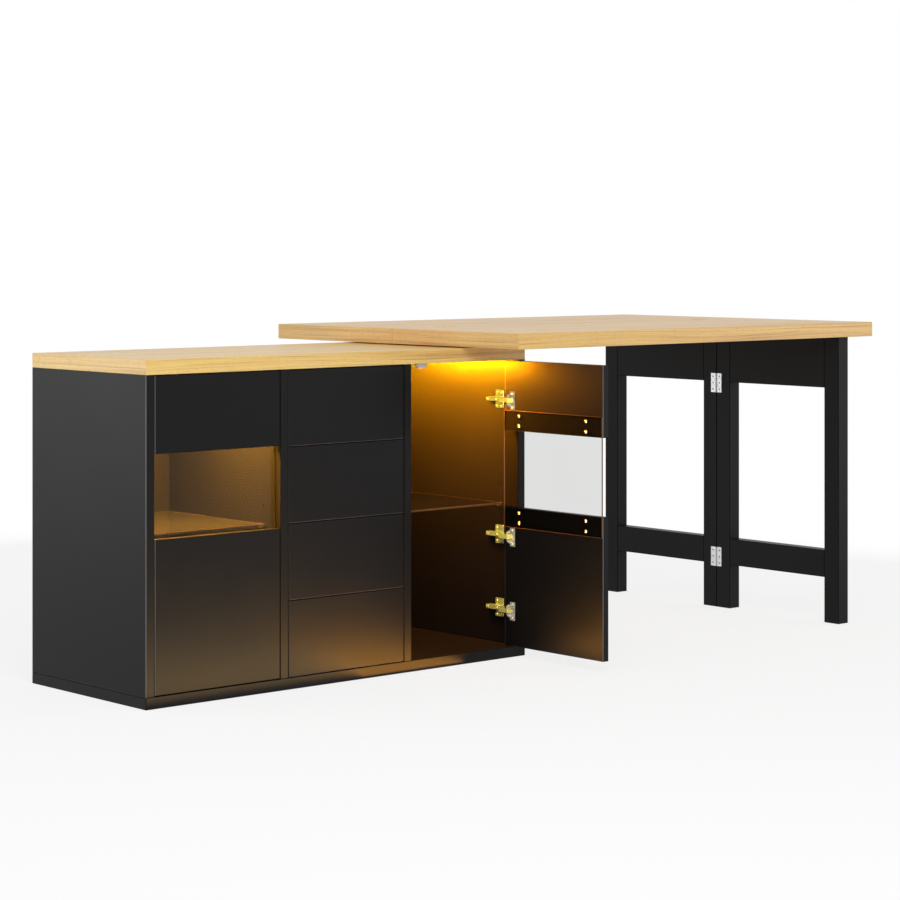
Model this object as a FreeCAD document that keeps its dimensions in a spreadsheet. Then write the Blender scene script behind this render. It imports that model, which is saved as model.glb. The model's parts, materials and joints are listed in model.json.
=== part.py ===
import FreeCAD, Part
import os
import re

# Kitchen island: a cabinet with two glazed doors and four drawers under an oak worktop, and an oak
# table that swivels on the worktop, with a leaf and a half leg frame that fold.
# Millimetres, +Z up, +X to the right and +Y to the back as seen from the front, with the origin at
# the middle of the cabinet's underside.

# Driving sizes, one sheet row each
SIZES = {
    # Carcass
    "cabinet_width": 1276,
    "cabinet_depth": 521,
    "base_thickness": 30,
    "opening_height": 796,
    "worktop_thickness": 38,
    "board_thickness": 25,
    "back_thickness": 25,
    "edge_radius": 1.2,
    "cut_overrun": 2,
    # Door boards, drawer fronts and the panes of the windows
    "front_thickness": 20,
    "front_gap": 2,
    "lower_panel_height": 386,
    "upper_panel_height": 194,
    "glass_thickness": 4,
    "glass_lap": 56,
    "glass_inset": 1,
    "right_door_angle": 90,
    # Domed screws that hold the panes
    "screw_inset": 62,
    "screw_margin": 14,
    "screw_pitch": 28,
    "screw_radius": 2,
    "screw_bite": 12,
    "screw_head_radius": 5,
    "screw_head_height": 3.5,
    # Concealed hinges: axis and heights
    "hinge_edge_offset": 15.5,
    "hinge_axis_depth": 7,
    "hinge_low_height": 97,
    "hinge_glass_gap": 2,
    "hinge_pin_radius": 1.4,
    "running_clearance": 0.05,
    # Concealed hinges: cup let into the door
    "cup_radius": 17.5,
    "cup_edge_distance": 22.5,
    "cup_depth": 17,
    "cup_wall": 1.5,
    "cup_floor": 1,
    "cup_rim": 1,
    "bore_clearance": 0.1,
    "flange_start": 22,
    "flange_width": 19,
    "flange_height": 51,
    "flange_thickness": 1.2,
    "cheek_length": 8,
    "cheek_rise": 4,
    "cheek_width": 3,
    "cheek_gap": 0.5,
    # Concealed hinges: cranked arm and mounting plate
    "arm_width": 12,
    "arm_thickness": 4,
    "arm_reach": 20.5,
    "arm_crank": 34,
    "arm_end": 114,
    "knuckle_wall": 1.2,
    "plate_start": 52,
    "plate_width": 33,
    "plate_height": 52,
    "plate_thickness": 3,
    "saddle_thickness": 5.5,
    "saddle_height": 16,
    # Glass shelves and their pins
    "shelf_thickness": 5,
    "shelf_setback": 64,
    "shelf_end_gap": 1.5,
    "shelf_back_gap": 2,
    "pin_radius": 2.5,
    "pin_bite": 10,
    "pin_reach": 11,
    "pin_height": 386.5,
    "pin_pitch": 57,
    "pin_setback": 74,
    "pin_back_distance": 43,
    # Light strips and door stops under the worktop
    "strip_width": 12,
    "strip_height": 8,
    "strip_setback": 125,
    "strip_end_gap": 6,
    "stop_width": 33,
    "stop_depth": 20,
    "stop_height": 14,
    "stop_offset": 41,
    "stop_gap": 0.3,
    # Drawer boxes and runners
    "drawer_side_thickness": 12,
    "drawer_box_height": 130,
    "drawer_back_gap": 46,
    "drawer_box_lift": 25,
    "drawer_bottom_thickness": 6,
    "drawer_bottom_lift": 8,
    "runner_space": 13,
    "runner_height": 35,
    "runner_back_gap": 6,
    "runner_depth": 10,
    "runner_web": 1.5,
    "runner_setback": 24,
    "slide_clearance": 0.4,
    # Table top and its place on the cabinet
    "table_length": 1466,
    "leaf_width": 525,
    "table_thickness": 43,
    "seam_gap": 1,
    "swivel_gap": 3,
    "pivot_from_right": 126,
    "pivot_from_back": 115,
    "pivot_to_end": 111,
    "pivot_to_seam": 111,
    # Swivel and glide pads
    "swivel_plate_radius": 75,
    "swivel_plate_thickness": 1.2,
    "stud_radius": 10,
    "stud_height": 28,
    "bush_wall": 4,
    "bush_height": 30,
    "pad_radius": 12,
    "pad_clearance": 0.3,
    "pad_spread": 60,
    "pad_reach": 276,
    # Leg frame
    "leg_inset": 82,
    "post_thickness": 44,
    "post_width": 56,
    "half_frame_length": 498,
    "rail_thickness": 40,
    "top_rail_height": 154,
    "lower_rail_height": 82,
    "lower_rail_rise": 137,
    "leg_clearance": 1.5,
    # Butt hinges of the leg frame
    "leg_hinge_height": 60,
    "leg_hinge_width": 22,
    "leg_hinge_plate": 2,
    "leg_hinge_offset": 3,
    "leg_knuckle_radius": 2.8,
    "leg_pin_radius": 1.5,
    "leg_hinge_low": 129,
    "leg_hinge_drop": 129,
    # Flap hinges let into the edges of the seam
    "leaf_hinge_length": 60,
    "leaf_hinge_depth": 24,
    "leaf_hinge_plate": 2,
    "leaf_hinge_lift": 0.5,
    "leaf_knuckle_radius": 2.3,
    "leaf_pin_radius": 1.1,
    "recess_clearance": 0.3,
    "knuckle_gap": 0.4,
}

# Share of a knuckle hinge's length that each outer knuckle takes, and where the flap hinges'
# middles lie along the table
OUTER_KNUCKLE_SHARE = 0.3
LEAF_HINGE_SHARES = (0.14, 0.5, 0.86)

# Places and sizes that follow from the driving ones, in the sheet's words
LEFT = "(-cabinet_width / 2)"
RIGHT = "(cabinet_width / 2)"
FRONT = "(-cabinet_depth / 2)"
BACK = "(cabinet_depth / 2)"
BACK_FACE = "(cabinet_depth / 2 - back_thickness)"
CEILING = "(base_thickness + opening_height)"
WORKTOP_TOP = "(base_thickness + opening_height + worktop_thickness)"
OPENING_WIDTH = "((cabinet_width - 4 * board_thickness) / 3)"
FRONT_WIDTH = f"({OPENING_WIDTH} - 2 * front_gap)"
DOOR_BOTTOM = "(base_thickness + front_gap)"
WINDOW_BOTTOM = f"({DOOR_BOTTOM} + lower_panel_height)"
WINDOW_TOP = f"({CEILING} - front_gap - upper_panel_height)"
WINDOW_HEIGHT = "(opening_height - 2 * front_gap - lower_panel_height - upper_panel_height)"
DOOR_INNER_FACE = "(front_thickness - hinge_axis_depth)"
HINGE_TO_PANEL = "(hinge_edge_offset + front_gap)"
DRAWER_DEPTH = "(cabinet_depth - front_thickness - back_thickness - drawer_back_gap)"
RUNNER_LENGTH = f"({DRAWER_DEPTH} + front_thickness - runner_setback - runner_back_gap)"
PIVOT_X = f"({RIGHT} - pivot_from_right)"
PIVOT_Y = f"({BACK} - pivot_from_back)"
SEAM_Y = f"({PIVOT_Y} - pivot_to_seam)"
TABLE_LEFT = f"({PIVOT_X} - pivot_to_end)"
TABLE_BOTTOM = f"({WORKTOP_TOP} + swivel_gap)"
TABLE_TOP = f"({TABLE_BOTTOM} + table_thickness)"
LEG_X = f"({TABLE_LEFT} + table_length - leg_inset - post_thickness)"

# Turns that lay a cylinder's axis along X or Y
TURNS = {
    "x": FreeCAD.Rotation(FreeCAD.Vector(0, 1, 0), 90),
    "y": FreeCAD.Rotation(FreeCAD.Vector(1, 0, 0), -90),
    "z": FreeCAD.Rotation(),
}
WORD = re.compile(r"[a-z][a-z_]*")

doc = FreeCAD.newDocument("kitchen_island")
sub_parts = []


def fill_sheet():
    """Writes the driving sizes to the sheet, each with its name as the cell's alias."""
    sheet = doc.addObject("Spreadsheet::Sheet", "dims")
    for row, (alias, value) in enumerate(SIZES.items(), start=1):
        sheet.set(f"A{row}", alias)
        sheet.set(f"B{row}", str(value))
        sheet.setAlias(f"B{row}", alias)
    doc.recompute()


def bind(item, prop, words):
    """Ties one property to an expression in the sheet's words."""
    item.setExpression(prop, WORD.sub(r"dims.\g<0>", words))


def put(item, place):
    """Ties an item's position to three expressions."""
    for axis, words in zip("xyz", place):
        bind(item, f"Placement.Base.{axis}", words)
    return item


def keep(item, label):
    """Names a finished sub-part and lists it for writing."""
    item.Label = label
    sub_parts.append(item)
    return item


def block(name, corner, size):
    """A plain box from its low corner."""
    item = doc.addObject("Part::Box", name)
    for prop, words in zip(("Length", "Width", "Height"), size):
        bind(item, prop, words)
    return put(item, corner)


def board(name, corner, size):
    """A board with eased edges, from its low corner."""
    body = doc.addObject("PartDesign::Body", name)
    core = body.newObject("PartDesign::AdditiveBox", f"{name}_core")
    for prop, words in zip(("Length", "Width", "Height"), size):
        bind(core, prop, words)
    put(core, corner)
    edges = body.newObject("PartDesign::Fillet", f"{name}_edges")
    edges.Base = (core, [""])
    edges.UseAllEdges = True
    bind(edges, "Radius", "edge_radius")
    return body


def rod(name, start, radius, length, axis="z"):
    """A cylinder from the middle of its first end, along one axis."""
    item = doc.addObject("Part::Cylinder", name)
    bind(item, "Radius", radius)
    bind(item, "Height", length)
    item.Placement = FreeCAD.Placement(FreeCAD.Vector(), TURNS[axis])
    return put(item, start)


def group(name, pieces):
    """Separate solids that share one sub-part."""
    item = doc.addObject("Part::Compound", name)
    item.Links = pieces
    return item


def join(name, pieces):
    """Several solids made one."""
    item = doc.addObject("Part::MultiFuse", name)
    item.Shapes = pieces
    return item


def cut(name, base, tools):
    """A solid with tools taken away."""
    item = doc.addObject("Part::Cut", name)
    item.Base = base
    item.Tool = group(f"{name}_tools", tools)
    return item


def column_left(number):
    """Left side of one of the three openings, counted from 0."""
    return f"({LEFT} + board_thickness + {number} * ({OPENING_WIDTH} + board_thickness))"


def pin_places():
    """The two shelf pin columns, as distances along Y."""
    return (f"{FRONT} + pin_setback", f"{BACK_FACE} - pin_back_distance")


def pin_holes(name, face, into):
    """Bores for shelf pins in one upright: three heights in two columns, into is 1 or -1 along X."""
    start = face if into > 0 else f"{face} - pin_bite"
    middle = "base_thickness + pin_height"
    holes = []
    for y in pin_places():
        for step in (-1, 0, 1):
            place = (start, y, f"{middle} + {step} * pin_pitch")
            holes.append(rod(f"{name}_pin_hole", place, "pin_radius", "pin_bite", "x"))
    return holes


def make_carcass():
    """Base, uprights, back and worktop."""
    inside_depth = "cabinet_depth - back_thickness"
    base_size = ("cabinet_width", "cabinet_depth", "base_thickness")
    keep(board("base", (LEFT, FRONT, "0"), base_size), "base_slab")
    left = board("left_side", (LEFT, FRONT, "base_thickness"),
                 ("board_thickness", "cabinet_depth", "opening_height"))
    holes = pin_holes("left_side", f"{LEFT} + board_thickness", -1)
    keep(cut("left_side_bored", left, holes), "left_side_panel")
    right = board("right_side", (f"{RIGHT} - board_thickness", FRONT, "base_thickness"),
                  ("board_thickness", "cabinet_depth", "opening_height"))
    holes = pin_holes("right_side", f"{RIGHT} - board_thickness", 1)
    keep(cut("right_side_bored", right, holes), "right_side_panel")
    for name, column, into in (("left_divider", 1, 1), ("right_divider", 2, -1)):
        x = f"{column_left(column)} - board_thickness"
        upright = board(f"{name}_board", (x, FRONT, "base_thickness"),
                        ("board_thickness", inside_depth, "opening_height"))
        face = x if into > 0 else column_left(column)
        keep(cut(f"{name}_bored", upright, pin_holes(name, face, into)), name)
    keep(board("back", (f"{LEFT} + board_thickness", BACK_FACE, "base_thickness"),
               ("cabinet_width - 2 * board_thickness", "back_thickness", "opening_height")), "back_panel")
    keep(board("worktop", (LEFT, FRONT, CEILING),
               ("cabinet_width", "cabinet_depth", "worktop_thickness")), "countertop")


def make_compartments():
    """Glass shelves on pins, light strips and door stops in the two door compartments."""
    shelves = []
    pins = []
    strips = []
    for column in (0, 2):
        x = column_left(column)
        shelf_depth = "cabinet_depth - back_thickness - shelf_setback - shelf_back_gap"
        shelves.append(block("shelf", (f"{x} + shelf_end_gap", f"{FRONT} + shelf_setback",
                                       "base_thickness + pin_height + pin_radius"),
                             (f"{OPENING_WIDTH} - 2 * shelf_end_gap", shelf_depth, "shelf_thickness")))
        for y in pin_places():
            for start in (f"{x} - pin_bite", f"{x} + {OPENING_WIDTH} - pin_reach"):
                pins.append(rod("shelf_pin", (start, y, "base_thickness + pin_height"),
                                "pin_radius", "pin_bite + pin_reach", "x"))
        strips.append(block("strip", (f"{x} + strip_end_gap", f"{FRONT} + strip_setback",
                                      f"{CEILING} - strip_height"),
                            (f"{OPENING_WIDTH} - 2 * strip_end_gap", "strip_width", "strip_height")))
    keep(group("shelves", shelves), "glass_shelves")
    keep(group("pins", pins), "shelf_pins")
    keep(group("strips", strips), "light_strips")
    stop_size = ("stop_width", "stop_depth", "stop_height")
    stop_starts = (f"{column_left(1)} - board_thickness - stop_offset - stop_width",
                   f"{column_left(2)} + stop_offset")
    stops = []
    for x in stop_starts:
        place = (x, f"{FRONT} + front_thickness + stop_gap", f"{CEILING} - stop_height")
        stops.append(block("stop", place, stop_size))
    keep(group("stops", stops), "door_stops")


def hinge_heights():
    """Middles of a door's three hinges: one low, and one on each side of the window."""
    clear = "glass_lap + hinge_glass_gap + flange_height / 2"
    return (f"{DOOR_BOTTOM} + hinge_low_height", f"{WINDOW_BOTTOM} - ({clear})", f"{WINDOW_TOP} + ({clear})")


def facing(side, low, high):
    """Low end along X of a stretch measured from the hinge axis towards the door's hinged edge.

    side is 1 for a door hinged on its right, and -1 for one hinged on its left.
    """
    return low if side > 0 else f"-({high})"


def across(name, side, low, high, y, depth, z, height):
    """A box beside a hinge axis, with low and high as facing() takes them."""
    return block(name, (facing(side, low, high), y, z), (f"({high}) - ({low})", depth, height))


def hinge_arm(side, z):
    """Cranked arm from the mounting plate round the door's edge to the pin in the cup."""
    low = f"{z} - arm_width / 2"
    half = "arm_thickness / 2"
    tail = f"{HINGE_TO_PANEL} - plate_thickness - saddle_thickness"
    start = f"-{half}"
    pieces = [
        rod("arm_knuckle", ("0", "0", low), "hinge_pin_radius + knuckle_wall", "arm_width"),
        across("arm_tongue", side, "-arm_reach", "0", start, "arm_thickness", low, "arm_width"),
        across("arm_neck", side, "-arm_reach", "arm_thickness - arm_reach",
               start, f"arm_crank + {half}", low, "arm_width"),
        across("arm_bridge", side, "-arm_reach", tail, "arm_crank - arm_thickness", "arm_thickness",
               low, "arm_width"),
        across("arm_tail", side, f"{tail} - arm_thickness", tail, "arm_crank - arm_thickness",
               "arm_end - arm_crank + arm_thickness", low, "arm_width"),
    ]
    bore = rod("arm_bore", ("0", "0", low), "hinge_pin_radius + running_clearance", "arm_width")
    return cut("arm", join("arm_body", pieces), [bore])


def hinge_plate(side, z):
    """Cross-shaped mounting plate on the upright, with the saddle that carries the arm."""
    back = f"{HINGE_TO_PANEL} - plate_thickness"
    wing = across("plate_wing", side, back, HINGE_TO_PANEL, "plate_start", "plate_width",
                  f"{z} - plate_height / 2", "plate_height")
    saddle = across("plate_saddle", side, f"{back} - saddle_thickness", HINGE_TO_PANEL, "plate_start",
                    "arm_end - plate_start", f"{z} - saddle_height / 2", "saddle_height")
    return join("plate", [wing, saddle])


def hinge_cup(side, z):
    """Cup with its rim, flange and the two cheeks that hold the pin."""
    middle = "hinge_edge_offset - cup_edge_distance"
    x = facing(side, middle, middle)
    bottom = f"{DOOR_INNER_FACE} - cup_depth"
    floor = f"{bottom} + cup_floor"
    flange_end = "hinge_edge_offset - flange_start"
    shell = join("cup_shell", [
        rod("cup_barrel", (x, bottom, z), "cup_radius", "cup_depth", "y"),
        rod("cup_lip", (x, DOOR_INNER_FACE, z), "cup_radius + cup_rim", "flange_thickness", "y"),
        across("cup_flange", side, f"{flange_end} - flange_width", flange_end, DOOR_INNER_FACE,
               "flange_thickness", f"{z} - flange_height / 2", "flange_height"),
    ])
    hollow = rod("cup_hollow", (x, floor, z), "cup_radius - cup_wall",
                 "cup_depth - cup_floor + flange_thickness + cut_overrun", "y")
    cheek_in = "arm_width / 2 + cheek_gap"
    cheeks = []
    for low in (f"{z} + {cheek_in}", f"{z} - ({cheek_in}) - cheek_width"):
        cheeks.append(across("cup_cheek", side, "-cheek_length / 2", "cheek_length / 2", bottom,
                             f"cheek_rise - ({bottom})", low, "cheek_width"))
    body = join("cup_body", [cut("cup_open", shell, [hollow]), *cheeks])
    return cut("cup", body, [hinge_pin(z)])


def hinge_pin(z):
    """Upright pin through a cup's two cheeks."""
    half = "(arm_width / 2 + cheek_gap + cheek_width)"
    return rod("hinge_pin", ("0", "0", f"{z} - {half}"), "hinge_pin_radius", f"2 * {half}")


def window_screw_places(side):
    """Middles of a door's window screws along X and Z."""
    xs = ("hinge_edge_offset - screw_inset", f"hinge_edge_offset - {FRONT_WIDTH} + screw_inset")
    zs = (f"{WINDOW_BOTTOM} - screw_margin", f"{WINDOW_BOTTOM} - screw_margin - screw_pitch",
          f"{WINDOW_TOP} + screw_margin", f"{WINDOW_TOP} + screw_margin + screw_pitch")
    return [(facing(side, x, x), z) for x in xs for z in zs]


def window_screw(x, z):
    """Domed screw from inside, through the pane into the board."""
    start = f"{DOOR_INNER_FACE} - screw_bite"
    shank = rod("screw_shank", (x, start, z), "screw_radius", "screw_bite + glass_thickness", "y")
    head = doc.addObject("Part::Ellipsoid", "screw_head")
    head.Angle1 = 0
    bind(head, "Radius1", "screw_head_height")
    bind(head, "Radius2", "screw_head_radius")
    bind(head, "Radius3", "screw_head_radius")
    head.Placement = FreeCAD.Placement(FreeCAD.Vector(), TURNS["y"])
    put(head, (x, f"{DOOR_INNER_FACE} + glass_thickness", z))
    return join("screw", [shank, head])


def make_door(name, side, axis_x, angle):
    """One door, drawn shut around its hinge axis and then turned by its angle at rest."""
    axis = (axis_x, f"{FRONT} + hinge_axis_depth", "0")
    edge = "hinge_edge_offset"
    free = f"hinge_edge_offset - {FRONT_WIDTH}"
    low, middle, high = hinge_heights()
    boards = (("lower_panel", DOOR_BOTTOM, "lower_panel_height", (low, middle)),
              ("upper_panel", WINDOW_TOP, "upper_panel_height", (high,)))
    screw_places = window_screw_places(side)
    cup_x = facing(side, "hinge_edge_offset - cup_edge_distance", "hinge_edge_offset - cup_edge_distance")
    pieces = {}
    for label, z, height, heights in boards:
        plain = board(f"{name}_{label}_board", (facing(side, free, edge), "-hinge_axis_depth", z),
                      (FRONT_WIDTH, "front_thickness", height))
        bores = [rod("cup_bore", (cup_x, f"{DOOR_INNER_FACE} - cup_depth", cup_z),
                     "cup_radius + bore_clearance", "cup_depth + cut_overrun", "y") for cup_z in heights]
        above = label == "upper_panel"
        for x, screw_z in screw_places:
            if screw_z.startswith(WINDOW_TOP) == above:
                bores.append(rod("screw_bore", (x, f"{DOOR_INNER_FACE} - screw_bite", screw_z),
                                 "screw_radius", "screw_bite + cut_overrun", "y"))
        pieces[label] = cut(f"{name}_{label}", plain, bores)
    pane = block(f"{name}_pane", (facing(side, f"{free} + glass_inset", f"{edge} - glass_inset"),
                                  DOOR_INNER_FACE, f"{WINDOW_BOTTOM} - glass_lap"),
                 (f"{FRONT_WIDTH} - 2 * glass_inset", "glass_thickness", f"{WINDOW_HEIGHT} + 2 * glass_lap"))
    pane_holes = [rod("pane_hole", (x, f"{DOOR_INNER_FACE} - cut_overrun", z),
                      "screw_radius + bore_clearance", "glass_thickness + 2 * cut_overrun", "y")
                  for x, z in screw_places]
    pieces["window_glass"] = cut(f"{name}_glass", pane, pane_holes)
    pieces["window_screws"] = group(f"{name}_screws", [window_screw(x, z) for x, z in screw_places])
    cups = [hinge_cup(side, z) for z in (low, middle, high)]
    pins = [hinge_pin(z) for z in (low, middle, high)]
    pieces["hinge_cups"] = group(f"{name}_cups", cups + pins)
    for label, item in pieces.items():
        put(item, axis)
        bind(item, "Placement.Rotation.Angle", angle)
        keep(item, f"{name}_{label}")
    arms = group(f"{name}_arms", [hinge_arm(side, z) for z in (low, middle, high)])
    plates = group(f"{name}_plates", [hinge_plate(side, z) for z in (low, middle, high)])
    return put(arms, axis), put(plates, axis)


def make_doors():
    """Both doors, and their hinge arms and plates on the uprights."""
    left_axis = f"{LEFT} + board_thickness + {HINGE_TO_PANEL}"
    right_axis = f"{RIGHT} - board_thickness - {HINGE_TO_PANEL}"
    left_arms, left_plates = make_door("left_door", -1, left_axis, "0")
    right_arms, right_plates = make_door("right_door", 1, right_axis, "right_door_angle")
    keep(group("arms", [left_arms, right_arms]), "hinge_arms")
    keep(group("plates", [left_plates, right_plates]), "hinge_plates")


def make_drawers():
    """Four drawers from the top down, each on a pair of two-part slides."""
    count = 4
    front_height = f"((opening_height - {count + 1} * front_gap) / {count})"
    left = column_left(1)
    inner_width = f"({OPENING_WIDTH} - 2 * runner_space - 2 * drawer_side_thickness)"
    behind = f"{FRONT} + front_thickness"
    channels = []
    for number in range(1, count + 1):
        name = f"drawer_{number}"
        below = count - number
        bottom = f"(base_thickness + front_gap + {below} * ({front_height} + front_gap))"
        box_bottom = f"({bottom} + drawer_box_lift)"
        side_x = (f"{left} + runner_space",
                  f"{left} + {OPENING_WIDTH} - runner_space - drawer_side_thickness")
        keep(board(f"{name}_face", (f"{left} + front_gap", FRONT, bottom),
                   (FRONT_WIDTH, "front_thickness", front_height)), f"{name}_front")
        side_size = ("drawer_side_thickness", DRAWER_DEPTH, "drawer_box_height")
        sides = [block("drawer_side", (x, behind, box_bottom), side_size) for x in side_x]
        keep(group(f"{name}_pair", sides), f"{name}_sides")
        inner_x = f"{left} + runner_space + drawer_side_thickness"
        base = f"{box_bottom} + drawer_bottom_lift"
        keep(block(f"{name}_base", (inner_x, behind, base),
                   (inner_width, DRAWER_DEPTH, "drawer_bottom_thickness")), f"{name}_bottom")
        back_corner = (inner_x, f"{behind} + {DRAWER_DEPTH} - drawer_side_thickness",
                       f"{base} + drawer_bottom_thickness")
        back_height = "drawer_box_height - drawer_bottom_lift - drawer_bottom_thickness"
        keep(block(f"{name}_rear", back_corner, (inner_width, "drawer_side_thickness", back_height)),
             f"{name}_back")
        rail_z = f"{box_bottom} + drawer_box_height / 2 - runner_height / 2"
        rails = []
        for hand in (1, -1):
            channel, rail = runner(hand, rail_z)
            channels.append(channel)
            rails.append(rail)
        keep(group(f"{name}_rails", rails), f"{name}_runners")
    keep(group("channels", channels), "cabinet_runners")


def runner(hand, z):
    """One slide: a channel on the upright and a rail on the drawer.

    hand is 1 on the left and -1 on the right.
    """
    left = column_left(1)
    y = f"{FRONT} + runner_setback"

    def stretch(low, high):
        """Low end along X of a stretch measured inwards from the upright."""
        return f"{left} + {low}" if hand > 0 else f"{left} + {OPENING_WIDTH} - ({high})"

    outer = block("channel_bar", (stretch("0", "runner_depth"), y, z),
                  ("runner_depth", RUNNER_LENGTH, "runner_height"))
    groove_x = stretch("runner_web", "runner_depth + cut_overrun")
    groove = block("channel_groove", (groove_x, f"{y} - cut_overrun", f"{z} + runner_web"),
                   ("runner_depth + cut_overrun - runner_web", f"{RUNNER_LENGTH} + 2 * cut_overrun",
                    "runner_height - 2 * runner_web"))
    inset = "(runner_web + slide_clearance)"
    rail = block("slide_rail", (stretch(inset, "runner_space"), y, f"{z} + {inset}"),
                 (f"runner_space - {inset}", RUNNER_LENGTH, f"runner_height - 2 * {inset}"))
    return cut("channel", outer, [groove]), rail


def make_swivel():
    """Swivel plates with their stud and bush, and the pads that the front leaf rests on."""
    plate = rod("base_disc", (PIVOT_X, PIVOT_Y, WORKTOP_TOP),
                "swivel_plate_radius", "swivel_plate_thickness")
    stud = rod("stud", (PIVOT_X, PIVOT_Y, WORKTOP_TOP), "stud_radius", "stud_height")
    keep(join("swivel_low", [plate, stud]), "swivel_base_plate")
    disc = rod("top_disc", (PIVOT_X, PIVOT_Y, f"{TABLE_BOTTOM} - swivel_plate_thickness"),
               "swivel_plate_radius", "swivel_plate_thickness")
    bush = rod("bush", (PIVOT_X, PIVOT_Y, TABLE_BOTTOM), "stud_radius + bush_wall", "bush_height")
    bore = rod("bush_bore", (PIVOT_X, PIVOT_Y, f"{WORKTOP_TOP}"), "stud_radius + running_clearance",
               "swivel_gap + bush_height + cut_overrun")
    keep(cut("swivel_high", join("swivel_top", [disc, bush]), [bore]), "swivel_top_plate")
    pads = []
    for shift in ("-pad_spread", "+pad_spread"):
        place = (f"{PIVOT_X} {shift}", f"{PIVOT_Y} - pad_reach", WORKTOP_TOP)
        pads.append(rod("pad", place, "pad_radius", "swivel_gap - pad_clearance"))
    keep(group("pads", pads), "glide_pads")


def hinge_leaves(name, fixed, moving, pin, length):
    """Joins the pieces of a hinge's two leaves, bores them along Z and adds the pin between them."""
    fixed_bore = rod(f"{name}_bore", ("0", "0", "0"), pin, length)
    moving_bore = rod(f"{name}_bore", ("0", "0", "0"), f"{pin} + running_clearance", length)
    return (cut(f"{name}_fixed", join(f"{name}_fixed_leaf", fixed), [fixed_bore]),
            rod(f"{name}_pin", ("0", "0", "0"), pin, length),
            cut(f"{name}_moving", join(f"{name}_moving_leaf", moving), [moving_bore]))


def knuckle_hinge(name, length, width, plate, offset, knuckle, pin):
    """A two-leaf hinge along its own Z axis, with both leaves against a face at offset along its +X.

    Returns the fixed leaf (along +Y, with the two outer knuckles), its pin and the moving leaf.
    """
    outer = f"({length} * {OUTER_KNUCKLE_SHARE})"
    reach = f"({knuckle} + knuckle_gap)"
    x = f"{offset} - {plate}"
    fixed = [block(f"{name}_plate", (x, reach, "0"), (plate, f"{width} - {reach}", length))]
    for z in ("0", f"{length} - {outer}"):
        fixed.append(block(f"{name}_bridge", (x, "0", z), (plate, reach, outer)))
        fixed.append(rod(f"{name}_knuckle", ("0", "0", z), knuckle, outer))
    start = f"{outer} + knuckle_gap"
    inner = f"{length} - 2 * ({start})"
    moving = [block(f"{name}_plate", (x, f"-{width}", "0"), (plate, f"{width} - {reach}", length)),
              block(f"{name}_bridge", (x, f"-{reach}", start), (plate, reach, inner)),
              rod(f"{name}_knuckle", ("0", "0", start), knuckle, inner)]
    return hinge_leaves(name, fixed, moving, pin, length)


def edge_hinge(name, length, depth, plate, knuckle, pin):
    """A two-leaf hinge along its own Z axis, shut, with its leaves side by side along its +X.

    Returns the fixed leaf (on the +Y side, with the two outer knuckles), its pin and the moving leaf.
    """
    outer = f"({length} * {OUTER_KNUCKLE_SHARE})"
    start = f"({outer} + knuckle_gap)"
    inner = f"({length} - 2 * {start})"
    reach = f"({knuckle} + knuckle_gap)"
    near = "seam_gap / 2"
    far = f"-({near}) - {plate}"
    plate_size = (f"{depth} - {reach}", plate, length)
    fixed = [block(f"{name}_plate", (reach, near, "0"), plate_size)]
    for z in ("0", f"{length} - {outer}"):
        fixed.append(block(f"{name}_bridge", ("0", near, z), (reach, plate, outer)))
        fixed.append(rod(f"{name}_knuckle", ("0", "0", z), knuckle, outer))
    moving = [block(f"{name}_plate", (reach, far, "0"), plate_size),
              block(f"{name}_bridge", ("0", far, start), (reach, plate, inner)),
              rod(f"{name}_knuckle", ("0", "0", start), knuckle, inner)]
    return hinge_leaves(name, fixed, moving, pin, length)


def leaf_hinge_starts():
    """Low ends of the flap hinges along X."""
    return [f"{TABLE_LEFT} + {share} * table_length - leaf_hinge_length / 2" for share in LEAF_HINGE_SHARES]


def make_table_top():
    """Two leaves with flap hinges let into their edges along the seam."""
    leaf_size = ("table_length", "leaf_width - seam_gap / 2", "table_thickness")
    recess_length = "(leaf_hinge_length + 2 * recess_clearance)"
    recess_size = (recess_length, "seam_gap / 2 + leaf_hinge_plate",
                   "leaf_hinge_depth - leaf_hinge_lift + recess_clearance + cut_overrun")
    axis_z = f"({TABLE_TOP} + leaf_hinge_lift)"
    recess_z = f"{axis_z} - leaf_hinge_depth - recess_clearance"
    rear_cuts = [rod("bush_seat", (PIVOT_X, PIVOT_Y, f"{TABLE_BOTTOM} - cut_overrun"),
                     "stud_radius + bush_wall + bore_clearance", "bush_height + cut_overrun")]
    front_cuts = []
    rear_hinges = []
    front_hinges = []
    for start in leaf_hinge_starts():
        x = f"{start} - recess_clearance"
        front_y = f"{SEAM_Y} - seam_gap / 2 - leaf_hinge_plate"
        for cuts, y in ((rear_cuts, SEAM_Y), (front_cuts, front_y)):
            cuts.append(block("edge_recess", (x, y, recess_z), recess_size))
            cuts.append(rod("knuckle_groove", (x, SEAM_Y, axis_z),
                            "leaf_knuckle_radius + recess_clearance", recess_length, "x"))
        parts = edge_hinge("flap", "leaf_hinge_length", "leaf_hinge_depth", "leaf_hinge_plate",
                           "leaf_knuckle_radius", "leaf_pin_radius")
        for item in parts:
            item.Placement = FreeCAD.Placement(FreeCAD.Vector(), TURNS["x"])
            put(item, (start, SEAM_Y, axis_z))
        rear_hinges.extend(parts[:2])
        front_hinges.append(parts[2])
    rear = board("rear_top", (TABLE_LEFT, f"{SEAM_Y} + seam_gap / 2", TABLE_BOTTOM), leaf_size)
    front = board("front_top", (TABLE_LEFT, f"{SEAM_Y} - leaf_width", TABLE_BOTTOM), leaf_size)
    keep(cut("rear_top_cut", rear, rear_cuts), "rear_leaf")
    keep(cut("front_top_cut", front, front_cuts), "front_leaf")
    keep(group("rear_flaps", rear_hinges), "rear_leaf_hinges")
    keep(group("front_flaps", front_hinges), "front_leaf_hinges")


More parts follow.
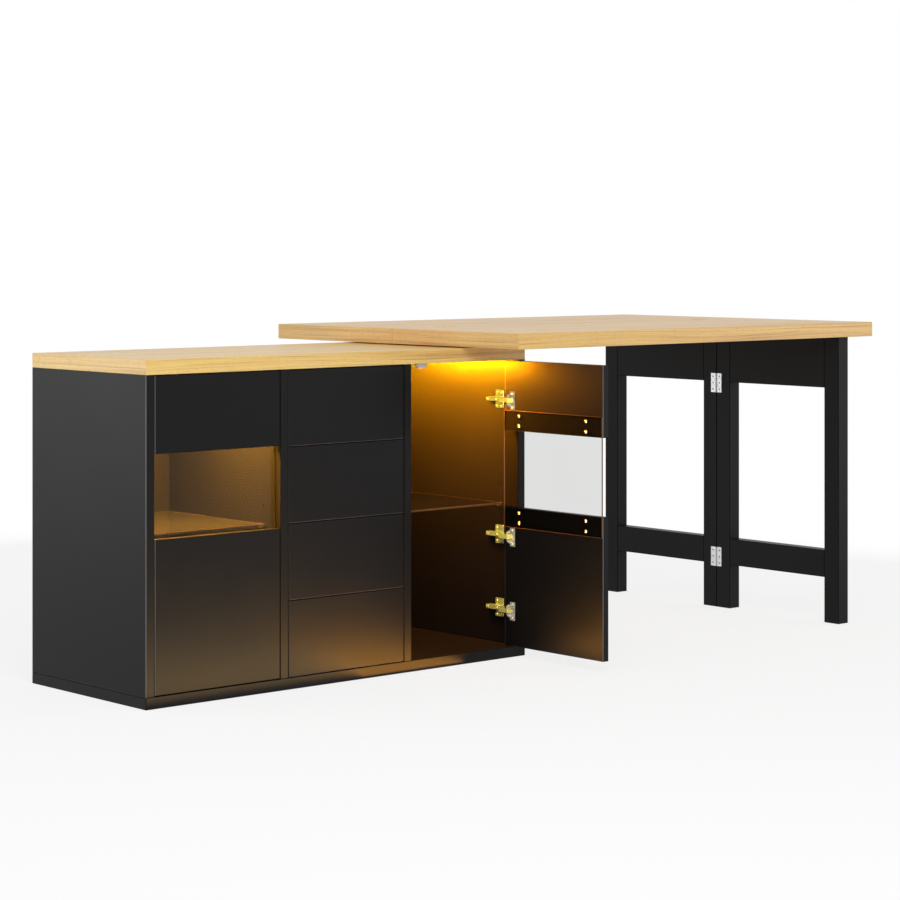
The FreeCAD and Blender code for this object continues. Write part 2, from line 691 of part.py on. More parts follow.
def half_frame(name, hand, height):
    """Posts and rails of one half of the leg frame; hand is 1 behind the seam and -1 in front of it."""

    def stretch(low, high):
        """Low end along Y of a stretch measured away from the seam."""
        return f"{SEAM_Y} + {low}" if hand > 0 else f"{SEAM_Y} - ({high})"

    posts = []
    post_stretches = (("seam_gap / 2", "post_width"),
                      ("half_frame_length - post_width", "half_frame_length"))
    for low, high in post_stretches:
        posts.append(board(f"{name}_post", (LEG_X, stretch(low, high), "0"),
                           ("post_thickness", f"{high} - ({low})", height)))
    keep(group(f"{name}_posts", posts), f"{name}_leg_posts")
    rail_y = stretch("post_width", "half_frame_length - post_width")
    rail_length = "half_frame_length - 2 * post_width"
    keep(board(f"{name}_high_rail", (LEG_X, rail_y, f"{height} - top_rail_height"),
               ("rail_thickness", rail_length, "top_rail_height")), f"{name}_top_rail")
    keep(board(f"{name}_low_rail", (LEG_X, rail_y, "lower_rail_rise"),
               ("rail_thickness", rail_length, "lower_rail_height")), f"{name}_lower_rail")


def make_leg_frame():
    """Rear and front halves of the leg frame, joined at the seam by two butt hinges."""
    half_frame("rear", 1, TABLE_BOTTOM)
    half_frame("front", -1, f"({TABLE_BOTTOM} - leg_clearance)")
    rear_hinges = []
    front_hinges = []
    for z in ("leg_hinge_low", f"{TABLE_BOTTOM} - leg_hinge_drop - leg_hinge_height"):
        parts = knuckle_hinge("butt", "leg_hinge_height", "leg_hinge_width", "leg_hinge_plate",
                              "leg_hinge_offset", "leg_knuckle_radius", "leg_pin_radius")
        for item in parts:
            put(item, (f"{LEG_X} - leg_hinge_offset", SEAM_Y, z))
        rear_hinges.extend(parts[:2])
        front_hinges.append(parts[2])
    keep(group("rear_butts", rear_hinges), "rear_leg_hinges")
    keep(group("front_butts", front_hinges), "front_leg_hinges")


def check_and_write():
    """Stops on any failed feature or bad shape, then writes one file for each sub-part."""
    doc.recompute()
    for item in doc.Objects:
        if "Invalid" in item.State or "Error" in item.State:
            raise RuntimeError(f"{item.Label} failed: {item.State}")
    for item in sub_parts:
        if item.Shape.isNull() or not item.Shape.isValid():
            raise RuntimeError(f"{item.Label} has no valid shape")
    os.makedirs("parts", exist_ok=True)
    for item in sub_parts:
        item.Shape.exportStep(f"parts/{item.Label}.step")
        print(f"{item.Label}: {len(item.Shape.Solids)} solids, {item.Shape.Volume:.0f} mm3")


fill_sheet()
make_carcass()
make_compartments()
make_doors()
make_drawers()
make_swivel()
make_table_top()
make_leg_frame()
check_and_write()
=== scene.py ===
"""Kitchen island with glazed, lit cupboards, drawers and a folding oak table, dressed for the studio."""
import json
import logging
import math
from dataclasses import dataclass, field
from enum import Enum
from typing import Any, Iterable, Sequence, Union

import bmesh
import bpy
from mathutils import Matrix, Vector

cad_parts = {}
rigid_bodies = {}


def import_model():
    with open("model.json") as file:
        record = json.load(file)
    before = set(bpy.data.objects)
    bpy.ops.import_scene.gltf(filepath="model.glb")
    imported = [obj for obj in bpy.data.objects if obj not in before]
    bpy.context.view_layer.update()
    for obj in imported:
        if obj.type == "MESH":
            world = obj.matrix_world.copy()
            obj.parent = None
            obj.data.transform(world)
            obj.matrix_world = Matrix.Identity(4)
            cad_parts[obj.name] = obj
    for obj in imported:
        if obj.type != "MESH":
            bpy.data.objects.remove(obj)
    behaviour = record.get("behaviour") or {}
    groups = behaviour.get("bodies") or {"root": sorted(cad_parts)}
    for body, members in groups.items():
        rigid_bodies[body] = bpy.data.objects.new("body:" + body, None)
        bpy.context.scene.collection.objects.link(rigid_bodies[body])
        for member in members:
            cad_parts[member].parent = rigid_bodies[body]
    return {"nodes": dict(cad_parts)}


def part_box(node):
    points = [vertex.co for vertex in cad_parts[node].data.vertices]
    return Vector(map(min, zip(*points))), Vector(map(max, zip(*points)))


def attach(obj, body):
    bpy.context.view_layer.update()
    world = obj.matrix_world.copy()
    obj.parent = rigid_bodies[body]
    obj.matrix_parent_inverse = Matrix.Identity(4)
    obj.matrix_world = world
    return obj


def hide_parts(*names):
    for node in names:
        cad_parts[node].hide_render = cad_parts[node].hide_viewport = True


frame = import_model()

LOG = logging.getLogger("kitchen_island")
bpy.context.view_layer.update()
MM = 0.001
MERGE_DISTANCE = 1e-6
FLAT_NORMAL = 0.9999
UPRIGHT_LEAN = 0.2
FLAT_ANGLE = math.radians(1.0)
SHARP_ANGLE = math.radians(35.0)
PANE_EASE_PARTS = 20
GROUND_EASE_PARTS = 4
DIODE_PITCH = 16.7 * MM
EASED = "eased"
# Face attribute: the share of painted highlight on each eased edge.
PAINTED_EDGE_HIGHLIGHT = "edge_light"
GRAIN = "grain"
LEG_PREFIX = "painted"

Box = tuple[Vector, Vector]
Colour = tuple[float, float, float]
Range = tuple[float, float]
Scale = tuple[float, float, float]
Operand = Union["Wire", float]

WHITE: Colour = (1.0, 1.0, 1.0)
AMBER: Colour = (1.0, 0.31, 0.002)
UPWARD = Vector((0.0, 0.0, 1.0))
OBJECT_MIDDLE = Vector((0.3, 0.0, 0.5))


class Slot(Enum):
    """The record's material slots, named for each piece."""

    LAMINATE = "dark_laminate"
    OAK = "oak"
    GLASS = "clear_glass"
    NICKEL = "nickel"
    STEEL = "steel"
    PLASTIC = "pale_plastic"
    DIFFUSER = "light_diffuser"


class Lighting(Enum):
    """Whether a lamp lights only the things on its list, or everything but them."""

    ONLY = "INCLUDE"
    ALL_BUT = "EXCLUDE"


class Facing(Enum):
    """Which way a fastener's head points, as the turn that brings +Z there."""

    RIGHT = (0.0, math.pi / 2, 0.0)
    LEFT = (0.0, -math.pi / 2, 0.0)
    BACK = (-math.pi / 2, 0.0, 0.0)
    DOWN = (math.pi, 0.0, 0.0)


class Wire:
    """A value in a node tree, with arithmetic that adds Math nodes."""

    def __init__(self, graph: "Graph", socket: bpy.types.NodeSocket) -> None:
        """Keeps the socket and the graph that it belongs to."""
        self.graph = graph
        self.socket = socket

    def _math(self, operation: str, first: Operand, second: Operand) -> "Wire":
        """Adds one Math node.

        Args:
            operation: The Math node's operation.
            first: Its first value.
            second: Its second value.

        Returns:
            The result.
        """
        return self.graph.node("ShaderNodeMath", {"operation": operation}, {0: first, 1: second}).wire()

    def __add__(self, other: Operand) -> "Wire":
        """Sum."""
        return self._math("ADD", self, other)

    def __radd__(self, other: Operand) -> "Wire":
        """Sum with a number first."""
        return self._math("ADD", other, self)

    def __sub__(self, other: Operand) -> "Wire":
        """Difference."""
        return self._math("SUBTRACT", self, other)

    def __rsub__(self, other: Operand) -> "Wire":
        """Difference with a number first."""
        return self._math("SUBTRACT", other, self)

    def __mul__(self, other: Operand) -> "Wire":
        """Product."""
        return self._math("MULTIPLY", self, other)

    def __rmul__(self, other: Operand) -> "Wire":
        """Product with a number first."""
        return self._math("MULTIPLY", other, self)

    def at_least(self, other: Operand) -> "Wire":
        """The larger of the two."""
        return self._math("MAXIMUM", self, other)

    def swing(self, amount: float) -> "Wire":
        """A value from 0 to 1 as a swing about zero, as wide as the amount."""
        return (self - 0.5) * amount

    def between(self, low: float, high: float) -> "Wire":
        """Rises smoothly from 0 at low to 1 at high.

        Args:
            low: Where the rise starts.
            high: Where it ends.

        Returns:
            The smooth step.
        """
        smooth = {"interpolation_type": "SMOOTHSTEP"}
        inputs = {"Value": self, "From Min": low, "From Max": high}
        return self.graph.node("ShaderNodeMapRange", smooth, inputs).wire("Result")


class Made:
    """A node that was just added."""

    def __init__(self, graph: "Graph", node: bpy.types.Node) -> None:
        """Keeps the node and its graph."""
        self.graph = graph
        self.node = node

    def wire(self, output: Union[str, int] = 0) -> Wire:
        """One of the node's outputs, by its name or number."""
        return Wire(self.graph, self.node.outputs[output])


class Graph:
    """Adds nodes to one tree."""

    def __init__(self, tree: bpy.types.NodeTree) -> None:
        """Keeps the tree."""
        self.tree = tree

    def node(self, kind: str, settings: dict[str, Any] | None = None,
             inputs: dict[Union[str, int], Any] | None = None) -> Made:
        """Adds a node, sets it up and fills its sockets.

        Args:
            kind: The node's type.
            settings: Its settings, with a ramp's stops as (place, colour) pairs under "stops".
            inputs: Values or links by socket name or number. A list links several to one socket.

        Returns:
            The node.
        """
        made = self.tree.nodes.new(kind)
        for name, value in (settings or {}).items():
            if name == "stops":
                self._fill_ramp(made.color_ramp, value)
            else:
                setattr(made, name, value)
        for key, value in (inputs or {}).items():
            for one in value if isinstance(value, list) else [value]:
                if isinstance(one, Wire):
                    self.tree.links.new(one.socket, made.inputs[key])
                else:
                    made.inputs[key].default_value = one
        return Made(self, made)

    @staticmethod
    def _fill_ramp(ramp: bpy.types.ColorRamp, stops: Sequence[tuple[float, Colour]]) -> None:
        """Gives a colour ramp its stops.

        Args:
            ramp: The ramp.
            stops: Place and colour of each stop, in order.
        """
        while len(ramp.elements) < len(stops):
            ramp.elements.new(1.0)
        for element, (place, colour) in zip(ramp.elements, stops):
            element.position = place
            element.color = (*colour, 1.0)

    def place(self) -> Wire:
        """The spot on the object."""
        return self.node("ShaderNodeTexCoord").wire("Object")

    def background(self) -> Wire:
        """Tells the rays that show the background: from the camera, in reflections and through glass.

        Returns:
            1 for these rays and 0 for the others.
        """
        path = self.node("ShaderNodeLightPath")
        shown = path.wire("Is Camera Ray").at_least(path.wire("Is Glossy Ray"))
        return shown.at_least(path.wire("Is Transmission Ray"))

    def noise(self, vector: Wire, scale: Union[float, Scale], detail: float = 2.0,
              roughness: float = 0.5) -> Wire:
        """Noise from 0 to 1.

        Args:
            vector: Where to read it.
            scale: Its frequency, or one for each direction.
            detail: Its octaves.
            roughness: How much the finer octaves count.

        Returns:
            The noise's value.
        """
        if isinstance(scale, tuple):
            factors = {0: vector, 1: scale}
            vector = self.node("ShaderNodeVectorMath", {"operation": "MULTIPLY"}, factors).wire()
            scale = 1.0
        inputs = {"Vector": vector, "Scale": scale, "Detail": detail, "Roughness": roughness}
        return self.node("ShaderNodeTexNoise", {"noise_dimensions": "3D"}, inputs).wire("Fac")

    def blend(self, share: Operand, first: Any, second: Any) -> Wire:
        """Mixes two colours.

        Args:
            share: How much of the second shows.
            first: A colour or a value's wire.
            second: The other one.

        Returns:
            The mixed colour.
        """
        ready = [(*c, 1.0) if isinstance(c, tuple) else c for c in (first, second)]
        return self.node("ShaderNodeMix", {"data_type": "RGBA"}, {0: share, 6: ready[0], 7: ready[1]}).wire(2)

    def bump(self, height: Wire, strength: float, distance: float) -> Wire:
        """A normal bent by a height.

        Args:
            height: The height, from 0 to 1.
            strength: How much it shows.
            distance: The real depth in metres.

        Returns:
            The normal.
        """
        inputs = {"Height": height, "Strength": strength, "Distance": distance}
        return self.node("ShaderNodeBump", None, inputs).wire()


def dimmed(colour: Colour, share: float) -> Colour:
    """A colour at a share of its strength."""
    return tuple(c * share for c in colour)


@dataclass(frozen=True)
class Finish:
    """A surface finish. Each kind says how its own shader is made."""

    name: str

    def shader(self, graph: Graph) -> Made:
        """The shader's last node, which each kind of finish adds to the graph."""
        raise NotImplementedError

    def build(self) -> bpy.types.Material:
        """Makes the material.

        Returns:
            The material.
        """
        material = bpy.data.materials.new(self.name)
        material.use_nodes = True
        material.node_tree.nodes.clear()
        graph = Graph(material.node_tree)
        graph.node("ShaderNodeOutputMaterial", None, {"Surface": self.shader(graph).wire()})
        return material


@dataclass(frozen=True)
class SatinBoard(Finish):
    """Dark satin laminate or paint: near black, with a fine grain, a faint cloudiness in its gloss, and a
    painted highlight on some eased edges.
    """

    colour: Colour
    gloss_roughness: float
    shine: float
    # Painted highlight colour for eased edges that face the light; the other eased edges take the dark seam
    # colour.
    painted_highlight_colour: Colour = (0.26, 0.26, 0.27)
    seam_colour: Colour = (0.001, 0.001, 0.001)
    seam_dullness: float = 0.5
    grain_scale: float = 1600.0
    grain_depth: float = 0.00006
    grain_strength: float = 0.25
    grain_range: Range = (0.35, 0.75)
    grain_gloss: float = 0.05
    paler_gain: float = 1.6
    paler_lift: float = 0.001
    cloud_scale: float = 7.0
    cloud_gloss: float = 0.07

    def shader(self, graph: Graph) -> Made:
        """The board's shader, in which attributes pick out the eased edges and how much painted highlight
        each gets.

        Args:
            graph: The material's graph.

        Returns:
            The shader's node.
        """
        place = graph.place()
        grain = graph.noise(place, self.grain_scale, detail=1.0)
        cloud = graph.noise(place, self.cloud_scale, detail=3.0)
        paler = tuple(c * self.paler_gain + self.paler_lift for c in self.colour)
        ground = graph.blend(grain.between(*self.grain_range), self.colour, paler)
        eased = graph.node("ShaderNodeAttribute", {"attribute_name": EASED}).wire("Fac")
        light = graph.node("ShaderNodeAttribute", {"attribute_name": PAINTED_EDGE_HIGHLIGHT}).wire("Fac")
        # Eased edges go from the dark seam colour to the painted highlight colour by their highlight share.
        edge = graph.blend(light, self.seam_colour, self.painted_highlight_colour)
        gloss = self.gloss_roughness + cloud.swing(self.cloud_gloss) + grain.swing(self.grain_gloss)
        return graph.node("ShaderNodeBsdfPrincipled", None, {
            "Base Color": graph.blend(eased, ground, edge),
            "Roughness": gloss + (eased - light) * self.seam_dullness,
            "Specular IOR Level": self.shine,
            "Normal": graph.bump(grain, self.grain_strength, self.grain_depth)})


@dataclass(frozen=True)
class OakFinish(Finish):
    """Light oak with straight grain along the UV map's first direction."""

    pale: Colour = (0.85, 0.585, 0.190)
    middle: Colour = (0.74, 0.450, 0.122)
    streak: Colour = (0.42, 0.190, 0.052)
    pore: Colour = (0.30, 0.135, 0.042)
    band_places: tuple[float, float, float, float] = (0.30, 0.41, 0.54, 0.66)
    sway_scale: Scale = (1.1, 5.0, 1.0)
    sway_width: float = 0.035
    band_scale: Scale = (0.7, 46.0, 1.0)
    line_scale: Scale = (1.6, 210.0, 1.0)
    line_range: Range = (0.52, 0.70)
    line_share: float = 0.62
    fibre_scale: Scale = (11.0, 900.0, 1.0)
    fibre_start: float = 0.35
    fibre_share: float = 0.32
    fibre_gloss: float = 0.12
    pore_scale: Scale = (42.0, 1300.0, 1.0)
    pore_range: Range = (0.62, 0.72)
    pore_share: float = 0.6
    pore_gloss: float = 0.15
    gloss_roughness: float = 0.44
    shine: float = 0.4
    coat: float = 0.25
    coat_roughness: float = 0.22
    relief_strength: float = 0.3
    relief_depth: float = 0.00012

    def shader(self, graph: Graph) -> Made:
        """The oak's shader: broad bands, fine lines, fibres and pores along a gently swaying grain.

        Args:
            graph: The material's graph.

        Returns:
            The shader's node.
        """
        flat = graph.node("ShaderNodeUVMap", {"uv_map": GRAIN}).wire()
        sway = graph.noise(flat, self.sway_scale)
        parts = graph.node("ShaderNodeSeparateXYZ", None, {0: flat})
        across = parts.wire(1) + sway.swing(self.sway_width)
        bent = graph.node("ShaderNodeCombineXYZ", None, {0: parts.wire(0), 1: across}).wire()
        bands = graph.noise(bent, self.band_scale, detail=4.0, roughness=0.62)
        lines = graph.noise(bent, self.line_scale, detail=3.0, roughness=0.6)
        fibre = graph.noise(bent, self.fibre_scale)
        pores = graph.noise(bent, self.pore_scale, detail=1.0).between(*self.pore_range)
        stops = list(zip(self.band_places, (self.streak, self.middle, self.pale, self.middle)))
        ground = graph.node("ShaderNodeValToRGB", {"stops": stops}, {"Fac": bands}).wire("Color")
        lined = graph.blend(lines.between(*self.line_range) * self.line_share, ground, self.streak)
        fibred = graph.blend((fibre - self.fibre_start) * self.fibre_share, lined, self.pale)
        height = fibre * 0.5 + (1.0 - pores) * 0.5
        return graph.node("ShaderNodeBsdfPrincipled", None, {
            "Base Color": graph.blend(pores * self.pore_share, fibred, self.pore),
            "Roughness": self.gloss_roughness + fibre.swing(self.fibre_gloss) + pores * self.pore_gloss,
            "Specular IOR Level": self.shine, "Coat Weight": self.coat,
            "Coat Roughness": self.coat_roughness,
            "Normal": graph.bump(height, self.relief_strength, self.relief_depth)})


@dataclass(frozen=True)
class ClearGlass(Finish):
    """Clear float glass with a faint grey tint, which lets the lamps' light through."""

    index: float
    clarity: float = 1.0
    tint: Colour = (0.77, 0.78, 0.77)
    cloud_scale: float = 5.0
    cloud_share: float = 0.97

    def shader(self, graph: Graph) -> Made:
        """The glass's shader, a plain tinted film to the lamps' rays.

        Args:
            graph: The material's graph.

        Returns:
            The shader's node.
        """
        cloud = graph.noise(graph.place(), self.cloud_scale, detail=1.0)
        glass = graph.node("ShaderNodeBsdfPrincipled", None, {
            "Base Color": graph.blend(cloud, self.tint, dimmed(self.tint, self.cloud_share)),
            "Roughness": 0.0, "IOR": self.index, "Transmission Weight": self.clarity})
        film = graph.node("ShaderNodeBsdfTransparent", None, {"Color": (*self.tint, 1.0)})
        path = graph.node("ShaderNodeLightPath")
        lamp_rays = path.wire("Is Shadow Ray").at_least(path.wire("Is Diffuse Ray"))
        return graph.node("ShaderNodeMixShader", None, {0: lamp_rays, 1: glass.wire(), 2: film.wire()})


@dataclass(frozen=True)
class PlatedMetal(Finish):
    """Plated steel with fine rolling lines and a faint mottling."""

    colour: Colour
    gloss_roughness: float
    metal: float = 1.0
    line_scale: Scale = (900.0, 900.0, 40.0)
    line_depth: float = 0.00003
    line_strength: float = 0.2
    line_gloss: float = 0.12
    mottle_scale: float = 160.0
    mottle_range: Range = (0.4, 0.7)
    mottle_share: float = 0.82
    mottle_gloss: float = 0.1

    def shader(self, graph: Graph) -> Made:
        """The metal's shader.

        Args:
            graph: The material's graph.

        Returns:
            The shader's node.
        """
        place = graph.place()
        lines = graph.noise(place, self.line_scale)
        mottle = graph.noise(place, self.mottle_scale)
        duller = dimmed(self.colour, self.mottle_share)
        gloss = self.gloss_roughness + lines.swing(self.line_gloss) + mottle.swing(self.mottle_gloss)
        return graph.node("ShaderNodeBsdfPrincipled", None, {
            "Base Color": graph.blend(mottle.between(*self.mottle_range), self.colour, duller),
            "Roughness": gloss, "Metallic": self.metal,
            "Normal": graph.bump(lines, self.line_strength, self.line_depth)})


@dataclass(frozen=True)
class MouldedPlastic(Finish):
    """Moulded plastic, felt or a ground glass edge, with a fine surface grain."""

    colour: Colour
    gloss_roughness: float
    shine: float = 0.5
    grain_scale: float = 1400.0
    grain_depth: float = 0.00008
    grain_strength: float = 0.3
    grain_range: Range = (0.35, 0.7)
    grain_share: float = 0.88
    grain_gloss: float = 0.1

    def shader(self, graph: Graph) -> Made:
        """The plastic's shader.

        Args:
            graph: The material's graph.

        Returns:
            The shader's node.
        """
        grain = graph.noise(graph.place(), self.grain_scale)
        darker = dimmed(self.colour, self.grain_share)
        return graph.node("ShaderNodeBsdfPrincipled", None, {
            "Base Color": graph.blend(grain.between(*self.grain_range), self.colour, darker),
            "Roughness": self.gloss_roughness + grain.swing(self.grain_gloss),
            "Specular IOR Level": self.shine,
            "Normal": graph.bump(grain, self.grain_strength, self.grain_depth)})


@dataclass(frozen=True)
class GlowingDiffuser(Finish):
    """Frosted cover of a light strip, glowing amber with brighter spots over its diodes."""

    colour: Colour = (1.0, 0.66, 0.12)
    strength: float = 4.0
    dim_share: float = 0.7
    cover_dim: Colour = (0.85, 0.8, 0.7)
    cover_bright: Colour = (0.95, 0.92, 0.85)
    cover_roughness: float = 0.45

    def shader(self, graph: Graph) -> Made:
        """The cover's shader.

        Args:
            graph: The material's graph.

        Returns:
            The shader's node.
        """
        along = graph.node("ShaderNodeSeparateXYZ", None, {0: graph.place()}).wire(0)
        turns = along * (2 * math.pi / DIODE_PITCH)
        spots = graph.node("ShaderNodeMath", {"operation": "SINE"}, {0: turns}).wire() * 0.5 + 0.5
        return graph.node("ShaderNodeBsdfPrincipled", None, {
            "Base Color": graph.blend(spots, self.cover_dim, self.cover_bright),
            "Roughness": self.cover_roughness,
            "Emission Color": graph.blend(spots, dimmed(self.colour, self.dim_share), self.colour),
            "Emission Strength": self.strength})


@dataclass(frozen=True)
class PaleFloor(Finish):
    """Pale matt floor that fades into the white backdrop and keeps the shadow."""

    glow: float = 0.80
    fade: Range = (1.6, 3.6)
    paleness: float = 0.92

    def shader(self, graph: Graph) -> Made:
        """The floor's shader.

        Args:
            graph: The material's graph.

        Returns:
            The shader's node.
        """
        away = graph.node("ShaderNodeVectorMath", {"operation": "LENGTH"}, {0: graph.place()}).wire("Value")
        share = graph.background() * away.between(*self.fade).at_least(self.glow)
        matt = graph.node("ShaderNodeBsdfDiffuse", None, {"Color": (*dimmed(WHITE, self.paleness), 1.0)})
        white = graph.node("ShaderNodeEmission", None, {"Color": (*WHITE, 1.0), "Strength": 1.0})
        return graph.node("ShaderNodeMixShader", None, {0: share, 1: matt.wire(), 2: white.wire()})


class Finishes:
    """All the object's materials, each made once."""

    def __init__(self) -> None:
        """Builds every finish."""
        self.laminate = SatinBoard("charcoal_laminate", (0.0060, 0.0060, 0.0063), 0.36, 0.10).build()
        self.paint = SatinBoard("black_leg_paint", (0.0066, 0.0066, 0.0069), 0.42, 0.09,
                                grain_scale=700.0, grain_depth=0.00010).build()
        self.drawer = SatinBoard("grey_drawer_board", (0.030, 0.030, 0.032), 0.55, 0.30,
                                 grain_scale=1100.0, grain_depth=0.00010).build()
        self.oak = OakFinish("light_oak").build()
        # The table's oak is a darker, more orange copy of the worktop's oak: partly painted shade for the
        # weaker light on the table, partly a warmer tone of its own.
        self.shaded_table_oak = OakFinish("warm_oak", (0.80, 0.515, 0.162), (0.695, 0.396, 0.104),
                                   (0.40, 0.170, 0.046)).build()
        self.window_glass = ClearGlass("clear_window_glass", 1.2).build()
        self.shelf_glass = ClearGlass("clear_shelf_glass", 1.45, 0.99).build()
        # Ground glass edges painted dark amber brown: painted glow of the amber strip light, not the glass's
        # own colour.
        self.painted_amber_glass_edge = MouldedPlastic("ground_glass_edge", (0.13, 0.072, 0.025), 0.3, shine=0.12).build()
        self.nickel = PlatedMetal("polished_nickel", (0.92, 0.88, 0.70), 0.17, metal=0.8).build()
        self.satin = PlatedMetal("satin_nickel", (0.95, 0.94, 0.88), 0.30, metal=0.3).build()
        self.zinc = PlatedMetal("zinc_plate", (0.58, 0.59, 0.60), 0.38).build()
        self.brass = PlatedMetal("brass_flap_hinge", (0.88, 0.69, 0.39), 0.5, metal=0.15).build()
        self.screw = PlatedMetal("dark_screw_plate", (0.10, 0.10, 0.10), 0.42).build()
        self.aluminium = PlatedMetal("strip_channel_aluminium", (0.80, 0.80, 0.80), 0.34,
                                     line_scale=(30.0, 900.0, 900.0)).build()
        self.plastic = MouldedPlastic("pale_stop_plastic", (0.82, 0.81, 0.78), 0.38).build()
        self.felt = MouldedPlastic("dark_felt", (0.05, 0.05, 0.05), 0.92, grain_scale=2600.0,
                                   grain_depth=0.0004).build()
        self.diffuser = GlowingDiffuser("amber_diffuser").build()


@dataclass(frozen=True)
class PaintedEdgeHighlight:
    """Painted highlight on a board's upright left edges and its lower edges. The others stay dark."""

    left: float = 0.0
    down: float = 0.0

    def share(self, normal: Vector) -> float:
        """How much painted highlight an eased edge gets.

        Args:
            normal: Which way the edge faces.

        Returns:
            From 0 for dark to 1, where an edge at 45 degrees counts in full.
        """
        facing = self.left * -normal.x if abs(normal.z) < UPRIGHT_LEAN else self.down * -normal.z
        return min(1.0, max(0.0, facing * math.sqrt(2.0)))


def plain_mesh(work: bmesh.types.BMesh, name: str) -> bpy.types.Mesh:
    """Turns worked geometry into a mesh.

    Args:
        work: The geometry, which is freed.
        name: The mesh's name.

    Returns:
        The mesh.
    """
    mesh = bpy.data.meshes.new(name)
    work.to_mesh(mesh)
    work.free()
    return mesh


def evaluated_mesh(item: bpy.types.Object) -> bpy.types.Mesh:
    """The plain mesh that an object's curve or modifiers make.

    Args:
        item: The object, which is removed.

    Returns:
        The mesh.
    """
    bpy.context.scene.collection.objects.link(item)
    made = bpy.data.meshes.new_from_object(item.evaluated_get(bpy.context.evaluated_depsgraph_get()))
    bpy.data.objects.remove(item)
    return made


